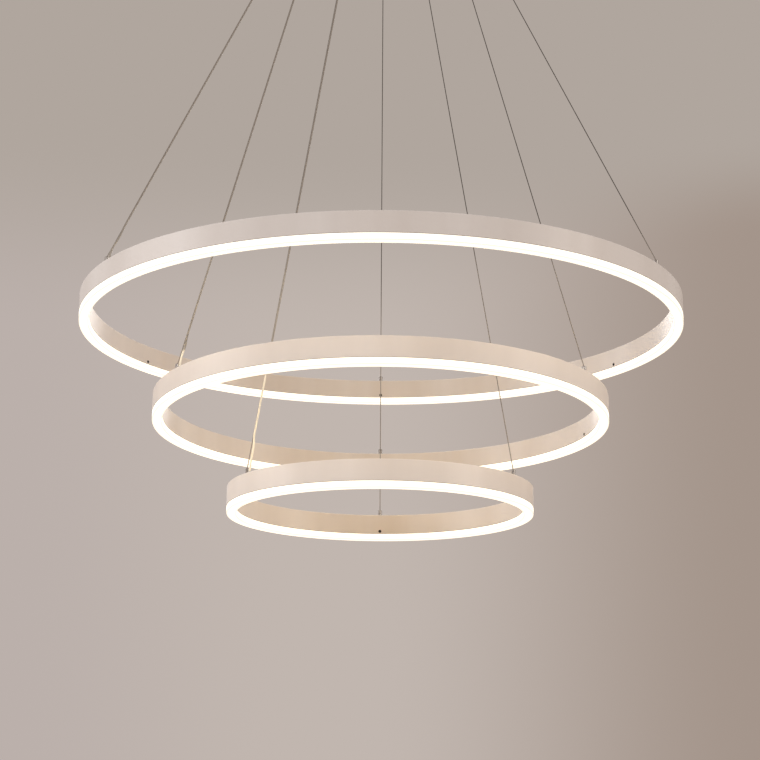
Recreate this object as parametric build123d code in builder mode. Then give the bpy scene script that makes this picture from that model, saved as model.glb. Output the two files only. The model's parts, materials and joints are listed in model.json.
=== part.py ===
from build123d import *
from math import acos, ceil, cos, pi, radians, sin, sqrt, tan
import os

# LED chandelier of three rings on steel wires, in millimetres.
# The origin is on the ceiling, midway between the crossbar's two screw slots. +Z is up, so the
# lamp hangs towards -Z, and +Y is the back, where the first wire of each ring runs.

os.makedirs("parts", exist_ok=True)

# ---------------------------------------------------------------- driving dimensions

# Rings, from the highest to the lowest. RING_DROP is from the ceiling to the ring's top face at
# its centre, and RING_TILT is how far out of level the ring hangs, in degrees about X.
RINGS = ("large", "middle", "small")
RING_DIAMETER = {"large": 800, "middle": 600, "small": 400}
RING_DROP = {"large": 655, "middle": 783, "small": 901}
RING_TILT = {"large": 0, "middle": -1.65, "small": 0}

# Ring section: an aluminium channel, open below, with a snap-in opal cap that stands below it
RING_WIDTH = 13
CHANNEL_HEIGHT = 26.5
CHANNEL_WALL = 1.2
CHANNEL_WEB = 1.5
CAP_DROP = 8.5
CAP_WALL = 1.5
CAP_FLOOR = 1.8
CAP_LEG = 9
CAP_INSET = 0.1
CAP_SEAM = 0.2
CAP_FIT = 0.1

# Diffuser screws: grub screws in the channel's inner wall that bear on the cap's leg. The height is
# above the cap's underside, and the angle is that of a ring's first screw.
SCREW_COUNT = {"large": 6, "middle": 4, "small": 3}
SCREW_ANGLE = {"large": 30, "middle": 15, "small": 90}
SCREW_DIAMETER = 2.5
SCREW_HEIGHT = 12
SCREW_SUNK = 0.2

# LED boards: straight boards side by side under the channel's web, each with one line of LEDs
BOARD_WIDTH = 5
BOARD_THICKNESS = 1
BOARD_GAP = 1.5
LED_LINE_WIDTH = 2.6
LED_LINE_HEIGHT = 0.8
LED_LINE_END = 4

# Wires: three to a ring, each from a gripper under the canopy to an anchor on the ring
WIRE_ANGLE = {"back": 90, "left": 210, "right": 330}
WIRE_DIAMETER = 1.2
WIRE_BEND_DROP = 0.5
WIRE_TAIL = 3
WIRE_SEAT = 0.6
GRIPPER_CIRCLE = {"large": 110, "middle": 90, "small": 45}
ANCHOR_DIAMETER = 6
ANCHOR_HEIGHT = 8

# Wire gripper: a barrel under the canopy, screwed to a hollow stud that comes through from inside.
# A release plunger hangs in the barrel by its collar, and runs up to free the wire.
GRIPPER_DIAMETER = 10
GRIPPER_LENGTH = 14
GRIPPER_LIP = 2
GRIPPER_CHAMBER_DIAMETER = 7.2
STUD_DIAMETER = 8
STUD_LENGTH = 12
STUD_GRIP = 4
PLUNGER_DIAMETER = 5
PLUNGER_LENGTH = 11
PLUNGER_SHOWS = 4
COLLAR_DIAMETER = 6.8
COLLAR_HEIGHT = 1.5
COLLAR_SEAT = 0.1
NUT_ACROSS_FLATS = 12
NUT_HEIGHT = 4

# Power leads: one to a ring, beside its left wire
LEAD_DIAMETER = 2.4
LEAD_SIDE = "left"
BUSH_DIAMETER = 6
BUSH_SHOWS = 6
BUSH_LENGTH = 12
GLAND_DIAMETER = 5
GLAND_HEIGHT = 3

# A lead's route is a list of (height, distance beside the wire) between a short straight exit at
# each end. The upper points are measured down from the bush, the lower ones up from the ring.
LEAD_UPPER = ((52, 9), (105, 2.2))
LEAD_LOWER = ((56, 2.2), (30, 6.5))
LEAD_EXIT_HEIGHT = 12
BUSH_OFFSET = 14
GLAND_OFFSET = 7.5

# Canopy: a pressed cover on a crossbar, held by two side screws
CANOPY_DIAMETER = 250
CANOPY_HEIGHT = 40
CANOPY_SHEET = 1.2
CANOPY_CORNER = 2.5
CROSSBAR_WIDTH = 20
CROSSBAR_SHEET = 2
EAR_DEPTH = 15
EAR_GAP = 0.3
SLOT_SPACING = 80
SLOT_LENGTH = 24
SLOT_WIDTH = 5
CABLE_HOLE_DIAMETER = 16
SIDE_SCREW_DIAMETER = 4
SIDE_SCREW_LENGTH = 8
SIDE_SCREW_HEAD = 8
SIDE_SCREW_HEAD_HEIGHT = 2.5
SIDE_SCREW_DEPTH = 9

# Inside the canopy. A driver is (length, width). It stands on the cover's floor between two rows of
# grippers, and its top stays below the terminal block's underside by its headroom.
DRIVER_SIZE = {"large": (104, 40), "middle": (92, 36), "small": (84, 32)}
DRIVER_HEADROOM = {"large": 2.8, "middle": 3.8, "small": 4.8}
DRIVER_ANGLE = {"large": 270, "middle": 30, "small": 150}
DRIVER_CIRCLE = {"large": 78, "middle": 72, "small": 70}
DRIVER_EDGE = 2
TERMINAL_SIZE = (32, 17, 12)
TERMINAL_WELLS = 3
TERMINAL_WELL = (5, 6, 8)
TERMINAL_PLACE = 80
EARTH_PLACE = -80
EARTH_DIAMETER = 4
EARTH_LENGTH = 10
EARTH_NUT_FLATS = 7
EARTH_NUT_HEIGHT = 3

# Clearances, on the radius
RUNNING_FIT = 0.05
HOLE_FIT = 0.1
WIRE_FIT = 0.15

# ---------------------------------------------------------------- derived places

LEAD_ANGLE = WIRE_ANGLE[LEAD_SIDE]
CANOPY_FLOOR = -CANOPY_HEIGHT
CANOPY_INSIDE = CANOPY_FLOOR + CANOPY_SHEET
GRIPPER_FOOT = CANOPY_FLOOR - GRIPPER_LENGTH
GRIPPER_TOP = CANOPY_FLOOR + STUD_LENGTH
WIRE_MOUTH = GRIPPER_FOOT - PLUNGER_SHOWS
BUSH_MOUTH = CANOPY_FLOOR - BUSH_SHOWS


def ring_top(ring):
    """The plane of a ring's top face, as the ring hangs."""
    return Plane(Location((0, 0, -RING_DROP[ring]), (RING_TILT[ring], 0, 0)))


def centre_circle(ring):
    """The radius of the middle of a ring's section, where its anchors stand."""
    return RING_DIAMETER[ring] / 2 - RING_WIDTH / 2


def on_circle(radius, angle, height=0):
    """A point on a level circle round the Z axis."""
    return Vector(radius * cos(radians(angle)), radius * sin(radians(angle)), height)


def beside(angle, distance):
    """A step sideways from a radius, anticlockwise seen from above."""
    return Vector(-sin(radians(angle)), cos(radians(angle))) * distance


def wire_ends(ring, side):
    """The two ends of a wire's slanting run: just under the gripper, and the top of the anchor."""
    angle = WIRE_ANGLE[side]
    start = on_circle(GRIPPER_CIRCLE[ring], angle, WIRE_MOUTH - WIRE_BEND_DROP)
    anchor = on_circle(centre_circle(ring), angle, ANCHOR_HEIGHT + WIRE_SEAT)
    return start, ring_top(ring).from_local_coords(anchor)


def gland_place(ring, height=0):
    """Where a power lead enters its ring, in the ring's own plane."""
    return on_circle(centre_circle(ring), LEAD_ANGLE, height) + beside(LEAD_ANGLE, GLAND_OFFSET)


def screw_places(ring):
    """The planes of a ring's diffuser screws, each on the inner wall and facing the ring's centre."""
    radius = RING_DIAMETER[ring] / 2 - RING_WIDTH
    height = SCREW_HEIGHT - CHANNEL_HEIGHT - CAP_DROP
    angles = [SCREW_ANGLE[ring] + 360 / SCREW_COUNT[ring] * turn for turn in range(SCREW_COUNT[ring])]
    return [Plane(on_circle(radius, angle, height), z_dir=-on_circle(1, angle)) for angle in angles]


def lead_route(ring):
    """The points of a power lead's route, from the top of its bush to the inside of its gland."""
    start, anchor = wire_ends(ring, LEAD_SIDE)
    top = ring_top(ring)
    slope = (anchor - start) * (1 / (anchor.Z - start.Z))
    exit_point = on_circle(GRIPPER_CIRCLE[ring], LEAD_ANGLE, BUSH_MOUTH) + beside(LEAD_ANGLE, BUSH_OFFSET)
    points = [exit_point + Vector(0, 0, BUSH_LENGTH), exit_point - Vector(0, 0, LEAD_EXIT_HEIGHT)]
    for depth, distance in LEAD_UPPER:
        points.append(start + slope * (BUSH_MOUTH - depth - start.Z) + beside(LEAD_ANGLE, distance))
    for height, distance in LEAD_LOWER:
        level = height - RING_DROP[ring]
        points.append(start + slope * (level - start.Z) + beside(LEAD_ANGLE, distance))
    for height in (LEAD_EXIT_HEIGHT, -CHANNEL_WEB):
        points.append(top.from_local_coords(gland_place(ring, height)))
    return points


def bend_radii(points):
    """One radius for each corner of a route, as large as the two runs beside it allow."""
    radii = []
    for before, corner, after in zip(points, points[1:], points[2:]):
        shorter = min((corner - before).length, (after - corner).length)
        turn = (corner - before).get_angle(after - corner)
        radii.append(0.45 * shorter / tan(radians(turn / 2)))
    return radii


# ---------------------------------------------------------------- rings

for ring in RINGS:
    top = ring_top(ring)
    outer = RING_DIAMETER[ring] / 2
    inner = outer - RING_WIDTH
    middle = centre_circle(ring)
    section = Plane(top.origin, x_dir=top.x_dir, z_dir=-top.y_dir)
    axis = Axis(top.origin, top.z_dir)

    # Channel: a rolled and welded U section, drilled for three anchors, a gland and the cap's screws
    with BuildPart(top) as channel:
        with BuildSketch(section):
            with Locations((middle, -CHANNEL_HEIGHT / 2)):
                Rectangle(RING_WIDTH, CHANNEL_HEIGHT)
            with Locations((middle, -(CHANNEL_HEIGHT + CHANNEL_WEB) / 2)):
                Rectangle(RING_WIDTH - 2 * CHANNEL_WALL, CHANNEL_HEIGHT - CHANNEL_WEB, mode=Mode.SUBTRACT)
        revolve(axis=axis)
        with PolarLocations(middle, len(WIRE_ANGLE), start_angle=WIRE_ANGLE["back"]):
            Hole(ANCHOR_DIAMETER / 2 + RUNNING_FIT, depth=CHANNEL_WEB)
        with Locations(gland_place(ring)):
            Hole(GLAND_DIAMETER / 2 + RUNNING_FIT, depth=CHANNEL_WEB)
        with Locations(*screw_places(ring)):
            Hole(SCREW_DIAMETER / 2 + RUNNING_FIT, depth=CHANNEL_WALL)
    channel.part.label = f"channel_{ring}"
    export_step(channel.part, f"parts/channel_{ring}.step")

    # Opal cap: two legs inside the channel, and a floor and shoulders that stand below it
    leg_width = RING_WIDTH - 2 * (CHANNEL_WALL + CAP_FIT)
    leg_top = CAP_LEG - CHANNEL_HEIGHT
    cap_bottom = -CHANNEL_HEIGHT - CAP_DROP
    cap_shoulder = -CHANNEL_HEIGHT - CAP_SEAM
    cavity_bottom = cap_bottom + CAP_FLOOR
    with BuildPart(top) as diffuser:
        with BuildSketch(section):
            with Locations((middle, (leg_top + cap_bottom) / 2)):
                Rectangle(leg_width, leg_top - cap_bottom)
            with Locations((middle, (cap_shoulder + cap_bottom) / 2)):
                Rectangle(RING_WIDTH - 2 * CAP_INSET, cap_shoulder - cap_bottom)
            with Locations((middle, (leg_top + cavity_bottom) / 2)):
                Rectangle(leg_width - 2 * CAP_WALL, leg_top - cavity_bottom, mode=Mode.SUBTRACT)
        revolve(axis=axis)
    diffuser.part.label = f"diffuser_{ring}"
    export_step(diffuser.part, f"parts/diffuser_{ring}.step")

    # Diffuser screws: from just inside the channel's inner wall to the face of the cap's leg
    with BuildPart(top) as screws:
        with Locations(*screw_places(ring)):
            with Locations((0, 0, -SCREW_SUNK)):
                Cylinder(
                    SCREW_DIAMETER / 2,
                    CHANNEL_WALL + CAP_FIT - SCREW_SUNK - RUNNING_FIT,
                    align=(Align.CENTER, Align.CENTER, Align.MAX),
                )
    screws.part.label = f"diffuser_screws_{ring}"
    export_step(screws.part, f"parts/diffuser_screws_{ring}.step")

    # LED boards: as few straight boards as fit between the channel's walls, end to end
    board_inside = inner + CHANNEL_WALL + HOLE_FIT
    board_outside = outer - CHANNEL_WALL - HOLE_FIT
    board_count = ceil(pi / acos((board_inside + BOARD_WIDTH) / board_outside))
    board_length = 2 * board_inside * tan(pi / board_count) - BOARD_GAP
    board_circle = board_inside + BOARD_WIDTH / 2
    with BuildPart(top) as led_boards:
        with PolarLocations(board_circle, board_count):
            with Locations((0, 0, -CHANNEL_WEB)):
                Box(BOARD_WIDTH, board_length, BOARD_THICKNESS, align=(Align.CENTER, Align.CENTER, Align.MAX))
            with Locations((0, 0, -CHANNEL_WEB - BOARD_THICKNESS)):
                Box(
                    LED_LINE_WIDTH,
                    board_length - 2 * LED_LINE_END,
                    LED_LINE_HEIGHT,
                    align=(Align.CENTER, Align.CENTER, Align.MAX),
                )
    led_boards.part.label = f"led_boards_{ring}"
    export_step(led_boards.part, f"parts/led_boards_{ring}.step")

    # Cable anchors: turned pins screwed into the channel's web
    with BuildPart(top) as anchors:
        with PolarLocations(middle, len(WIRE_ANGLE), start_angle=WIRE_ANGLE["back"]):
            with Locations((0, 0, -CHANNEL_WEB)):
                Cylinder(
                    ANCHOR_DIAMETER / 2,
                    CHANNEL_WEB + ANCHOR_HEIGHT,
                    align=(Align.CENTER, Align.CENTER, Align.MIN),
                )
    anchors.part.label = f"cable_anchors_{ring}"
    export_step(anchors.part, f"parts/cable_anchors_{ring}.step")

    # Lead gland: a bush in the channel's web that the power lead runs down through
    with BuildPart(top) as gland:
        with Locations(gland_place(ring, -CHANNEL_WEB)):
            Cylinder(
                GLAND_DIAMETER / 2,
                CHANNEL_WEB + GLAND_HEIGHT,
                align=(Align.CENTER, Align.CENTER, Align.MIN),
            )
            Hole(LEAD_DIAMETER / 2 + RUNNING_FIT)
    gland.part.label = f"lead_gland_{ring}"
    export_step(gland.part, f"parts/lead_gland_{ring}.step")

# ---------------------------------------------------------------- wires and grippers

for ring in RINGS:
    circle = GRIPPER_CIRCLE[ring]

    # Gripper barrels: a lip that holds the plunger's collar, a chamber, and a tapped upper end
    with BuildPart() as barrels:
        with PolarLocations(circle, len(WIRE_ANGLE), start_angle=WIRE_ANGLE["back"]):
            with Locations((0, 0, CANOPY_FLOOR)):
                Cylinder(
                    GRIPPER_DIAMETER / 2,
                    GRIPPER_LENGTH,
                    align=(Align.CENTER, Align.CENTER, Align.MAX),
                )
                Hole(PLUNGER_DIAMETER / 2 + RUNNING_FIT, depth=GRIPPER_LENGTH)
                Hole(GRIPPER_CHAMBER_DIAMETER / 2, depth=GRIPPER_LENGTH - GRIPPER_LIP)
                Hole(STUD_DIAMETER / 2 + RUNNING_FIT, depth=STUD_GRIP)
    barrels.part.label = f"gripper_barrels_{ring}"
    export_step(barrels.part, f"parts/gripper_barrels_{ring}.step")

    # Gripper studs: hollow for the wire, screwed down into the barrels
    with BuildPart() as studs:
        with PolarLocations(circle, len(WIRE_ANGLE), start_angle=WIRE_ANGLE["back"]):
            with Locations((0, 0, GRIPPER_TOP)):
                Cylinder(
                    STUD_DIAMETER / 2,
                    STUD_GRIP + STUD_LENGTH,
                    align=(Align.CENTER, Align.CENTER, Align.MAX),
                )
                Hole(WIRE_DIAMETER / 2 + WIRE_FIT, depth=STUD_GRIP + STUD_LENGTH)
    studs.part.label = f"gripper_studs_{ring}"
    export_step(studs.part, f"parts/gripper_studs_{ring}.step")

    for side, angle in WIRE_ANGLE.items():
        start, anchor = wire_ends(ring, side)
        tail = Vector(start.X, start.Y, GRIPPER_TOP + WIRE_TAIL)

        # Release plunger: pushed up into the barrel, it frees the wire
        with BuildPart(Plane((start.X, start.Y, WIRE_MOUTH))) as plunger:
            Cylinder(
                PLUNGER_DIAMETER / 2,
                PLUNGER_LENGTH,
                align=(Align.CENTER, Align.CENTER, Align.MIN),
            )
            with Locations((0, 0, PLUNGER_SHOWS + GRIPPER_LIP + COLLAR_SEAT)):
                Cylinder(
                    COLLAR_DIAMETER / 2,
                    COLLAR_HEIGHT,
                    align=(Align.CENTER, Align.CENTER, Align.MIN),
                )
            Hole(WIRE_DIAMETER / 2 + WIRE_FIT)
        plunger.part.label = f"plunger_{ring}_{side}"
        export_step(plunger.part, f"parts/plunger_{ring}_{side}.step")

        # Steel wire: straight down through the gripper, then slanting to the anchor
        with BuildPart() as wire:
            with BuildLine():
                Polyline(tail, start, anchor)
            with BuildSketch(Plane(tail, z_dir=start - tail)):
                Circle(WIRE_DIAMETER / 2)
            sweep(transition=Transition.RIGHT)
        wire.part.label = f"wire_{ring}_{side}"
        export_step(wire.part, f"parts/wire_{ring}_{side}.step")

    # Power lead: down through the bush, along the left wire, and down into the gland
    route = lead_route(ring)
    radii = bend_radii(route)
    with BuildPart() as lead:
        with BuildLine() as lead_line:
            FilletPolyline(*route, radius=radii)
        with BuildSketch(Plane(route[0], z_dir=route[1] - route[0])):
            Circle(LEAD_DIAMETER / 2)
        sweep()
    lead_length = sum(edge.length for edge in lead_line.edges())
    tube_volume = pi * LEAD_DIAMETER**2 / 4 * lead_length
    print(f"power_lead_{ring}: length {lead_length:.0f}, volume {lead.part.volume:.0f} of {tube_volume:.0f}")
    print(f"power_lead_{ring}: radii", [round(radius) for radius in radii])
    lead.part.label = f"power_lead_{ring}"
    export_step(lead.part, f"parts/power_lead_{ring}.step")

# Lock nuts: one on each gripper's stud, inside the canopy
with BuildPart() as nuts:
    with BuildSketch(Plane.XY.offset(CANOPY_INSIDE)):
        for ring in RINGS:
            with PolarLocations(GRIPPER_CIRCLE[ring], len(WIRE_ANGLE), start_angle=WIRE_ANGLE["back"]):
                RegularPolygon(NUT_ACROSS_FLATS / 2, 6, major_radius=False)
                Circle(STUD_DIAMETER / 2 + RUNNING_FIT, mode=Mode.SUBTRACT)
    extrude(amount=NUT_HEIGHT)
nuts.part.label = "gripper_nuts"
export_step(nuts.part, "parts/gripper_nuts.step")

# Lead bushes: where the three power leads leave the canopy
bush_places = [on_circle(GRIPPER_CIRCLE[ring], LEAD_ANGLE) + beside(LEAD_ANGLE, BUSH_OFFSET) for ring in RINGS]
with BuildPart(Plane.XY.offset(BUSH_MOUTH)) as bushes:
    with Locations(bush_places):
        Cylinder(BUSH_DIAMETER / 2, BUSH_LENGTH, align=(Align.CENTER, Align.CENTER, Align.MIN))
        Hole(LEAD_DIAMETER / 2 + RUNNING_FIT)
bushes.part.label = "lead_bushes"
export_step(bushes.part, "parts/lead_bushes.step")

# ---------------------------------------------------------------- canopy

# Canopy cover: a pressed steel dish against the ceiling
with BuildPart() as cover:
    with BuildSketch(Plane.XY.offset(CANOPY_FLOOR)):
        Circle(CANOPY_DIAMETER / 2)
    extrude(amount=CANOPY_HEIGHT)
    chamfer(cover.edges().group_by(Axis.Z)[0], CANOPY_CORNER)
    offset(amount=-CANOPY_SHEET, openings=cover.faces().sort_by(Axis.Z)[-1], kind=Kind.INTERSECTION)
    with Locations(Plane.XY.offset(CANOPY_INSIDE)):
        for ring in RINGS:
            with PolarLocations(GRIPPER_CIRCLE[ring], len(WIRE_ANGLE), start_angle=WIRE_ANGLE["back"]):
                Hole(STUD_DIAMETER / 2 + RUNNING_FIT, depth=CANOPY_SHEET)
        with Locations(bush_places):
            Hole(BUSH_DIAMETER / 2 + RUNNING_FIT, depth=CANOPY_SHEET)
    with Locations(Plane((0, 0, -SIDE_SCREW_DEPTH), z_dir=(1, 0, 0))):
        Hole(SIDE_SCREW_DIAMETER / 2 + HOLE_FIT)
cover.part.label = "canopy_cover"
export_step(cover.part, "parts/canopy_cover.step")

# Crossbar: a flat bar screwed to the ceiling, with its ends folded down for the side screws
ear_circle = CANOPY_DIAMETER / 2 - CANOPY_SHEET - EAR_GAP
crossbar_length = 2 * sqrt(ear_circle**2 - (CROSSBAR_WIDTH / 2) ** 2)
with BuildPart() as crossbar:
    Box(crossbar_length, CROSSBAR_WIDTH, EAR_DEPTH, align=(Align.CENTER, Align.CENTER, Align.MAX))
    with Locations((0, 0, -CROSSBAR_SHEET)):
        Box(
            crossbar_length - 2 * CROSSBAR_SHEET,
            CROSSBAR_WIDTH,
            EAR_DEPTH - CROSSBAR_SHEET,
            align=(Align.CENTER, Align.CENTER, Align.MAX),
            mode=Mode.SUBTRACT,
        )
    with BuildSketch():
        with GridLocations(SLOT_SPACING, 0, 2, 1):
            SlotOverall(SLOT_LENGTH, SLOT_WIDTH)
        Circle(CABLE_HOLE_DIAMETER / 2)
    extrude(amount=-CROSSBAR_SHEET, mode=Mode.SUBTRACT)
    with Locations(Plane((0, 0, -SIDE_SCREW_DEPTH), z_dir=(1, 0, 0))):
        Hole(SIDE_SCREW_DIAMETER / 2 + RUNNING_FIT)
crossbar.part.label = "ceiling_crossbar"
export_step(crossbar.part, "parts/ceiling_crossbar.step")

# Side screws: through the cover's wall into the crossbar's ears
with BuildPart() as side_screws:
    for direction in (1, -1):
        with Locations(
            Plane((direction * CANOPY_DIAMETER / 2, 0, -SIDE_SCREW_DEPTH), z_dir=(direction, 0, 0))
        ):
            Cylinder(
                SIDE_SCREW_HEAD / 2,
                SIDE_SCREW_HEAD_HEIGHT,
                align=(Align.CENTER, Align.CENTER, Align.MIN),
            )
            Cylinder(
                SIDE_SCREW_DIAMETER / 2,
                SIDE_SCREW_LENGTH,
                align=(Align.CENTER, Align.CENTER, Align.MAX),
            )
side_screws.part.label = "canopy_side_screws"
export_step(side_screws.part, "parts/canopy_side_screws.step")

# LED drivers: one to a ring, standing on the cover's floor
for ring in RINGS:
    length, width = DRIVER_SIZE[ring]
    height = -CROSSBAR_SHEET - TERMINAL_SIZE[2] - DRIVER_HEADROOM[ring] - CANOPY_INSIDE
    with BuildPart(Plane.XY.offset(CANOPY_INSIDE)) as driver:
        with PolarLocations(DRIVER_CIRCLE[ring], 1, start_angle=DRIVER_ANGLE[ring]):
            Box(width, length, height, align=(Align.CENTER, Align.CENTER, Align.MIN))
        chamfer(driver.faces().sort_by(Axis.Z)[-1].edges(), DRIVER_EDGE)
    driver.part.label = f"driver_{ring}"
    export_step(driver.part, f"parts/driver_{ring}.step")

# Terminal block: under the crossbar, for the house wiring
with BuildPart(Plane.XY.offset(-CROSSBAR_SHEET)) as terminal:
    with Locations((TERMINAL_PLACE, 0)):
        Box(*TERMINAL_SIZE, align=(Align.CENTER, Align.CENTER, Align.MAX))
        with Locations((0, 0, -TERMINAL_SIZE[2])):
            with GridLocations(TERMINAL_SIZE[0] / TERMINAL_WELLS, 0, TERMINAL_WELLS, 1):
                Box(*TERMINAL_WELL, align=(Align.CENTER, Align.CENTER, Align.MIN), mode=Mode.SUBTRACT)
terminal.part.label = "terminal_block"
export_step(terminal.part, "parts/terminal_block.step")

# Earth stud: a screw and nut under the crossbar
with BuildPart(Plane.XY.offset(-CROSSBAR_SHEET)) as earth:
    with BuildSketch(Plane((EARTH_PLACE, 0, -CROSSBAR_SHEET))):
        RegularPolygon(EARTH_NUT_FLATS / 2, 6, major_radius=False)
    extrude(amount=-EARTH_NUT_HEIGHT)
    with Locations((EARTH_PLACE, 0)):
        Cylinder(EARTH_DIAMETER / 2, EARTH_LENGTH, align=(Align.CENTER, Align.CENTER, Align.MAX))
earth.part.label = "earth_stud"
export_step(earth.part, "parts/earth_stud.step")
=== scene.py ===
"""The looks of a chandelier of three LED rings on steel wires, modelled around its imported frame.

Lengths are in metres and angles in degrees, in the frame's own axes: the origin is on the ceiling
and +Z is up, so the lamp hangs towards -Z. +Y is the back, where the first wire of each ring runs.
"""
import json
import logging
import math
from dataclasses import dataclass, field, replace
from enum import Enum
from typing import ClassVar, Iterable, Mapping, Sequence

import bpy
import numpy as np
from mathutils import Matrix, Vector


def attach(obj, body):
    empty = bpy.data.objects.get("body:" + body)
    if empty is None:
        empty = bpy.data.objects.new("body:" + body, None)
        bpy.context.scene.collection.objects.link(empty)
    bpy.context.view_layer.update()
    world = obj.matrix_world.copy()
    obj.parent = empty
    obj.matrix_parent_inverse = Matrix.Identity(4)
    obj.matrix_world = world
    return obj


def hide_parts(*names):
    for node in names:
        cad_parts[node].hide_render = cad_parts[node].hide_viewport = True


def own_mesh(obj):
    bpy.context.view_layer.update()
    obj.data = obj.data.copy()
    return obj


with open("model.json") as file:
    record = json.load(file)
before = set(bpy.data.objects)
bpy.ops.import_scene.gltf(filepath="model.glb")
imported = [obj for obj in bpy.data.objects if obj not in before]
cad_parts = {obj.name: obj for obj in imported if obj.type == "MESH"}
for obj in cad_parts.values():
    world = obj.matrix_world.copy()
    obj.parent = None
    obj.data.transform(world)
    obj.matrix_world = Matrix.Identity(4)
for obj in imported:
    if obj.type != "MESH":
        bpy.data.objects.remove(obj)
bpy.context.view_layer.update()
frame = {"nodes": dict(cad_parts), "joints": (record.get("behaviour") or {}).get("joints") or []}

LOG = logging.getLogger("chandelier")
MM = 0.001

# How many points there are round each kind of round piece.
RING_STEPS = 360
COVER_STEPS = 240
BARREL_STEPS = 144
PIN_STEPS = 48
SMALL_STEPS = 40
SCREW_STEPS = 36
LEAD_STEPS = 20

Array = np.ndarray
Colour = tuple[float, float, float, float]
Socket = bpy.types.NodeSocket
Value = Socket | float | Colour
Sockets = Mapping[str, Socket]
Inputs = Mapping[str | int, Value]


def linear(red: int, green: int, blue: int) -> Colour:
    """A display colour turned into linear light.

    Args:
        red: the red channel, from 0 to 255.
        green: the green channel, from 0 to 255.
        blue: the blue channel, from 0 to 255.

    Returns:
        Linear red, green and blue, and an alpha of one.
    """
    display = np.array((red, green, blue)) / 255
    light = np.where(display <= 0.04045, display / 12.92, ((display + 0.055) / 1.055) ** 2.4)
    return (*(float(channel) for channel in light), 1.0)


# ------------------------------------------------------------------------------ shapes


def full_turn(count: int) -> Array:
    """Evenly spaced angles round a full turn, in radians."""
    return np.linspace(0, 2 * np.pi, count, endpoint=False)


def run_along(points: Array) -> Array:
    """How far each point of a chain lies from the first, measured along the chain."""
    return np.append(0, np.cumsum(np.linalg.norm(np.diff(points, axis=0), axis=1)))


def loops_round(radius: Array, angle: Array, height: Array) -> Array:
    """Loops of the points (r cos t, r sin t, height), with one row of radii and heights for each loop."""
    return np.stack(np.broadcast_arrays(radius * np.cos(angle), radius * np.sin(angle), height), -1)


def turn_about(axis: str, angle: float) -> Matrix:
    """A turn about one of the axes, as a 4 by 4 matrix."""
    return Matrix.Rotation(math.radians(angle), 4, axis)


class Ends(Enum):
    """How a grid of loops is closed at its first and last loop."""

    FANS = "each end loop is closed by a fan to its middle"
    RING = "the last loop joins the first, as on a ring"


@dataclass
class Surface:
    """A closed mesh as arrays, before it becomes a Blender object.

    Attributes:
        points: vertex places, one row each.
        quads: vertex numbers of the four-sided faces.
        tris: vertex numbers of the three-sided faces.
        uv: one row for each face corner, the quads' corners first.
        marks: named values, one for each vertex.
    """

    points: Array
    quads: Array
    tris: Array
    uv: Array
    marks: dict[str, Array] = field(default_factory=dict)

    def moved(self, place: Matrix) -> "Surface":
        """The same surface, carried by a 4 by 4 matrix that turns and shifts it."""
        turn = np.array(place)
        return replace(self, points=self.points @ turn[:3, :3].T + turn[:3, 3])

    def corner_uv(self) -> tuple[Array, Array]:
        """The map's rows for the corners of the quads, and those of the triangles."""
        return self.uv[: self.quads.size], self.uv[self.quads.size :]

    def volume(self) -> float:
        """The signed volume: a sixth of the sum of a . (b x c) over the triangles.

        Returns:
            The volume, which is positive where the faces point outwards.
        """
        faces = np.concatenate((self.quads[:, :3], self.quads[:, (0, 2, 3)], self.tris))
        a, b, c = (self.points[faces[:, corner]] for corner in range(3))
        return float(np.einsum("ij,ij->i", a, np.cross(b, c)).sum() / 6)

    def outward(self) -> "Surface":
        """Sees to it that the faces point outwards.

        Returns:
            This surface, or the same one with each face turned round.
        """
        if self.volume() >= 0:
            return self
        quad_uv, tri_uv = self.corner_uv()
        quad_uv, tri_uv = quad_uv.reshape(-1, 4, 2)[:, ::-1], tri_uv.reshape(-1, 3, 2)[:, ::-1]
        uv = np.concatenate((quad_uv.reshape(-1, 2), tri_uv.reshape(-1, 2)))
        return replace(self, quads=self.quads[:, ::-1], tris=self.tris[:, ::-1], uv=uv)


def joined(surfaces: Iterable[Surface]) -> Surface:
    """One surface that holds several, with the vertex numbers of each moved past those before it.

    Args:
        surfaces: the surfaces, which carry the same marks.

    Returns:
        The surface that holds them all.
    """
    parts = list(surfaces)
    starts = np.cumsum([0] + [len(part.points) for part in parts[:-1]])
    quad_uv, tri_uv = zip(*(part.corner_uv() for part in parts))
    return Surface(
        np.concatenate([part.points for part in parts]),
        np.concatenate([part.quads + start for part, start in zip(parts, starts)]),
        np.concatenate([part.tris + start for part, start in zip(parts, starts)]),
        np.concatenate(quad_uv + tri_uv),
        {name: np.concatenate([part.marks[name] for part in parts]) for name in parts[0].marks},
    )


def copies(surface: Surface, places: Iterable[Matrix]) -> Surface:
    """One surface that holds a copy of another at each place."""
    return joined(surface.moved(place) for place in places)


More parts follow.
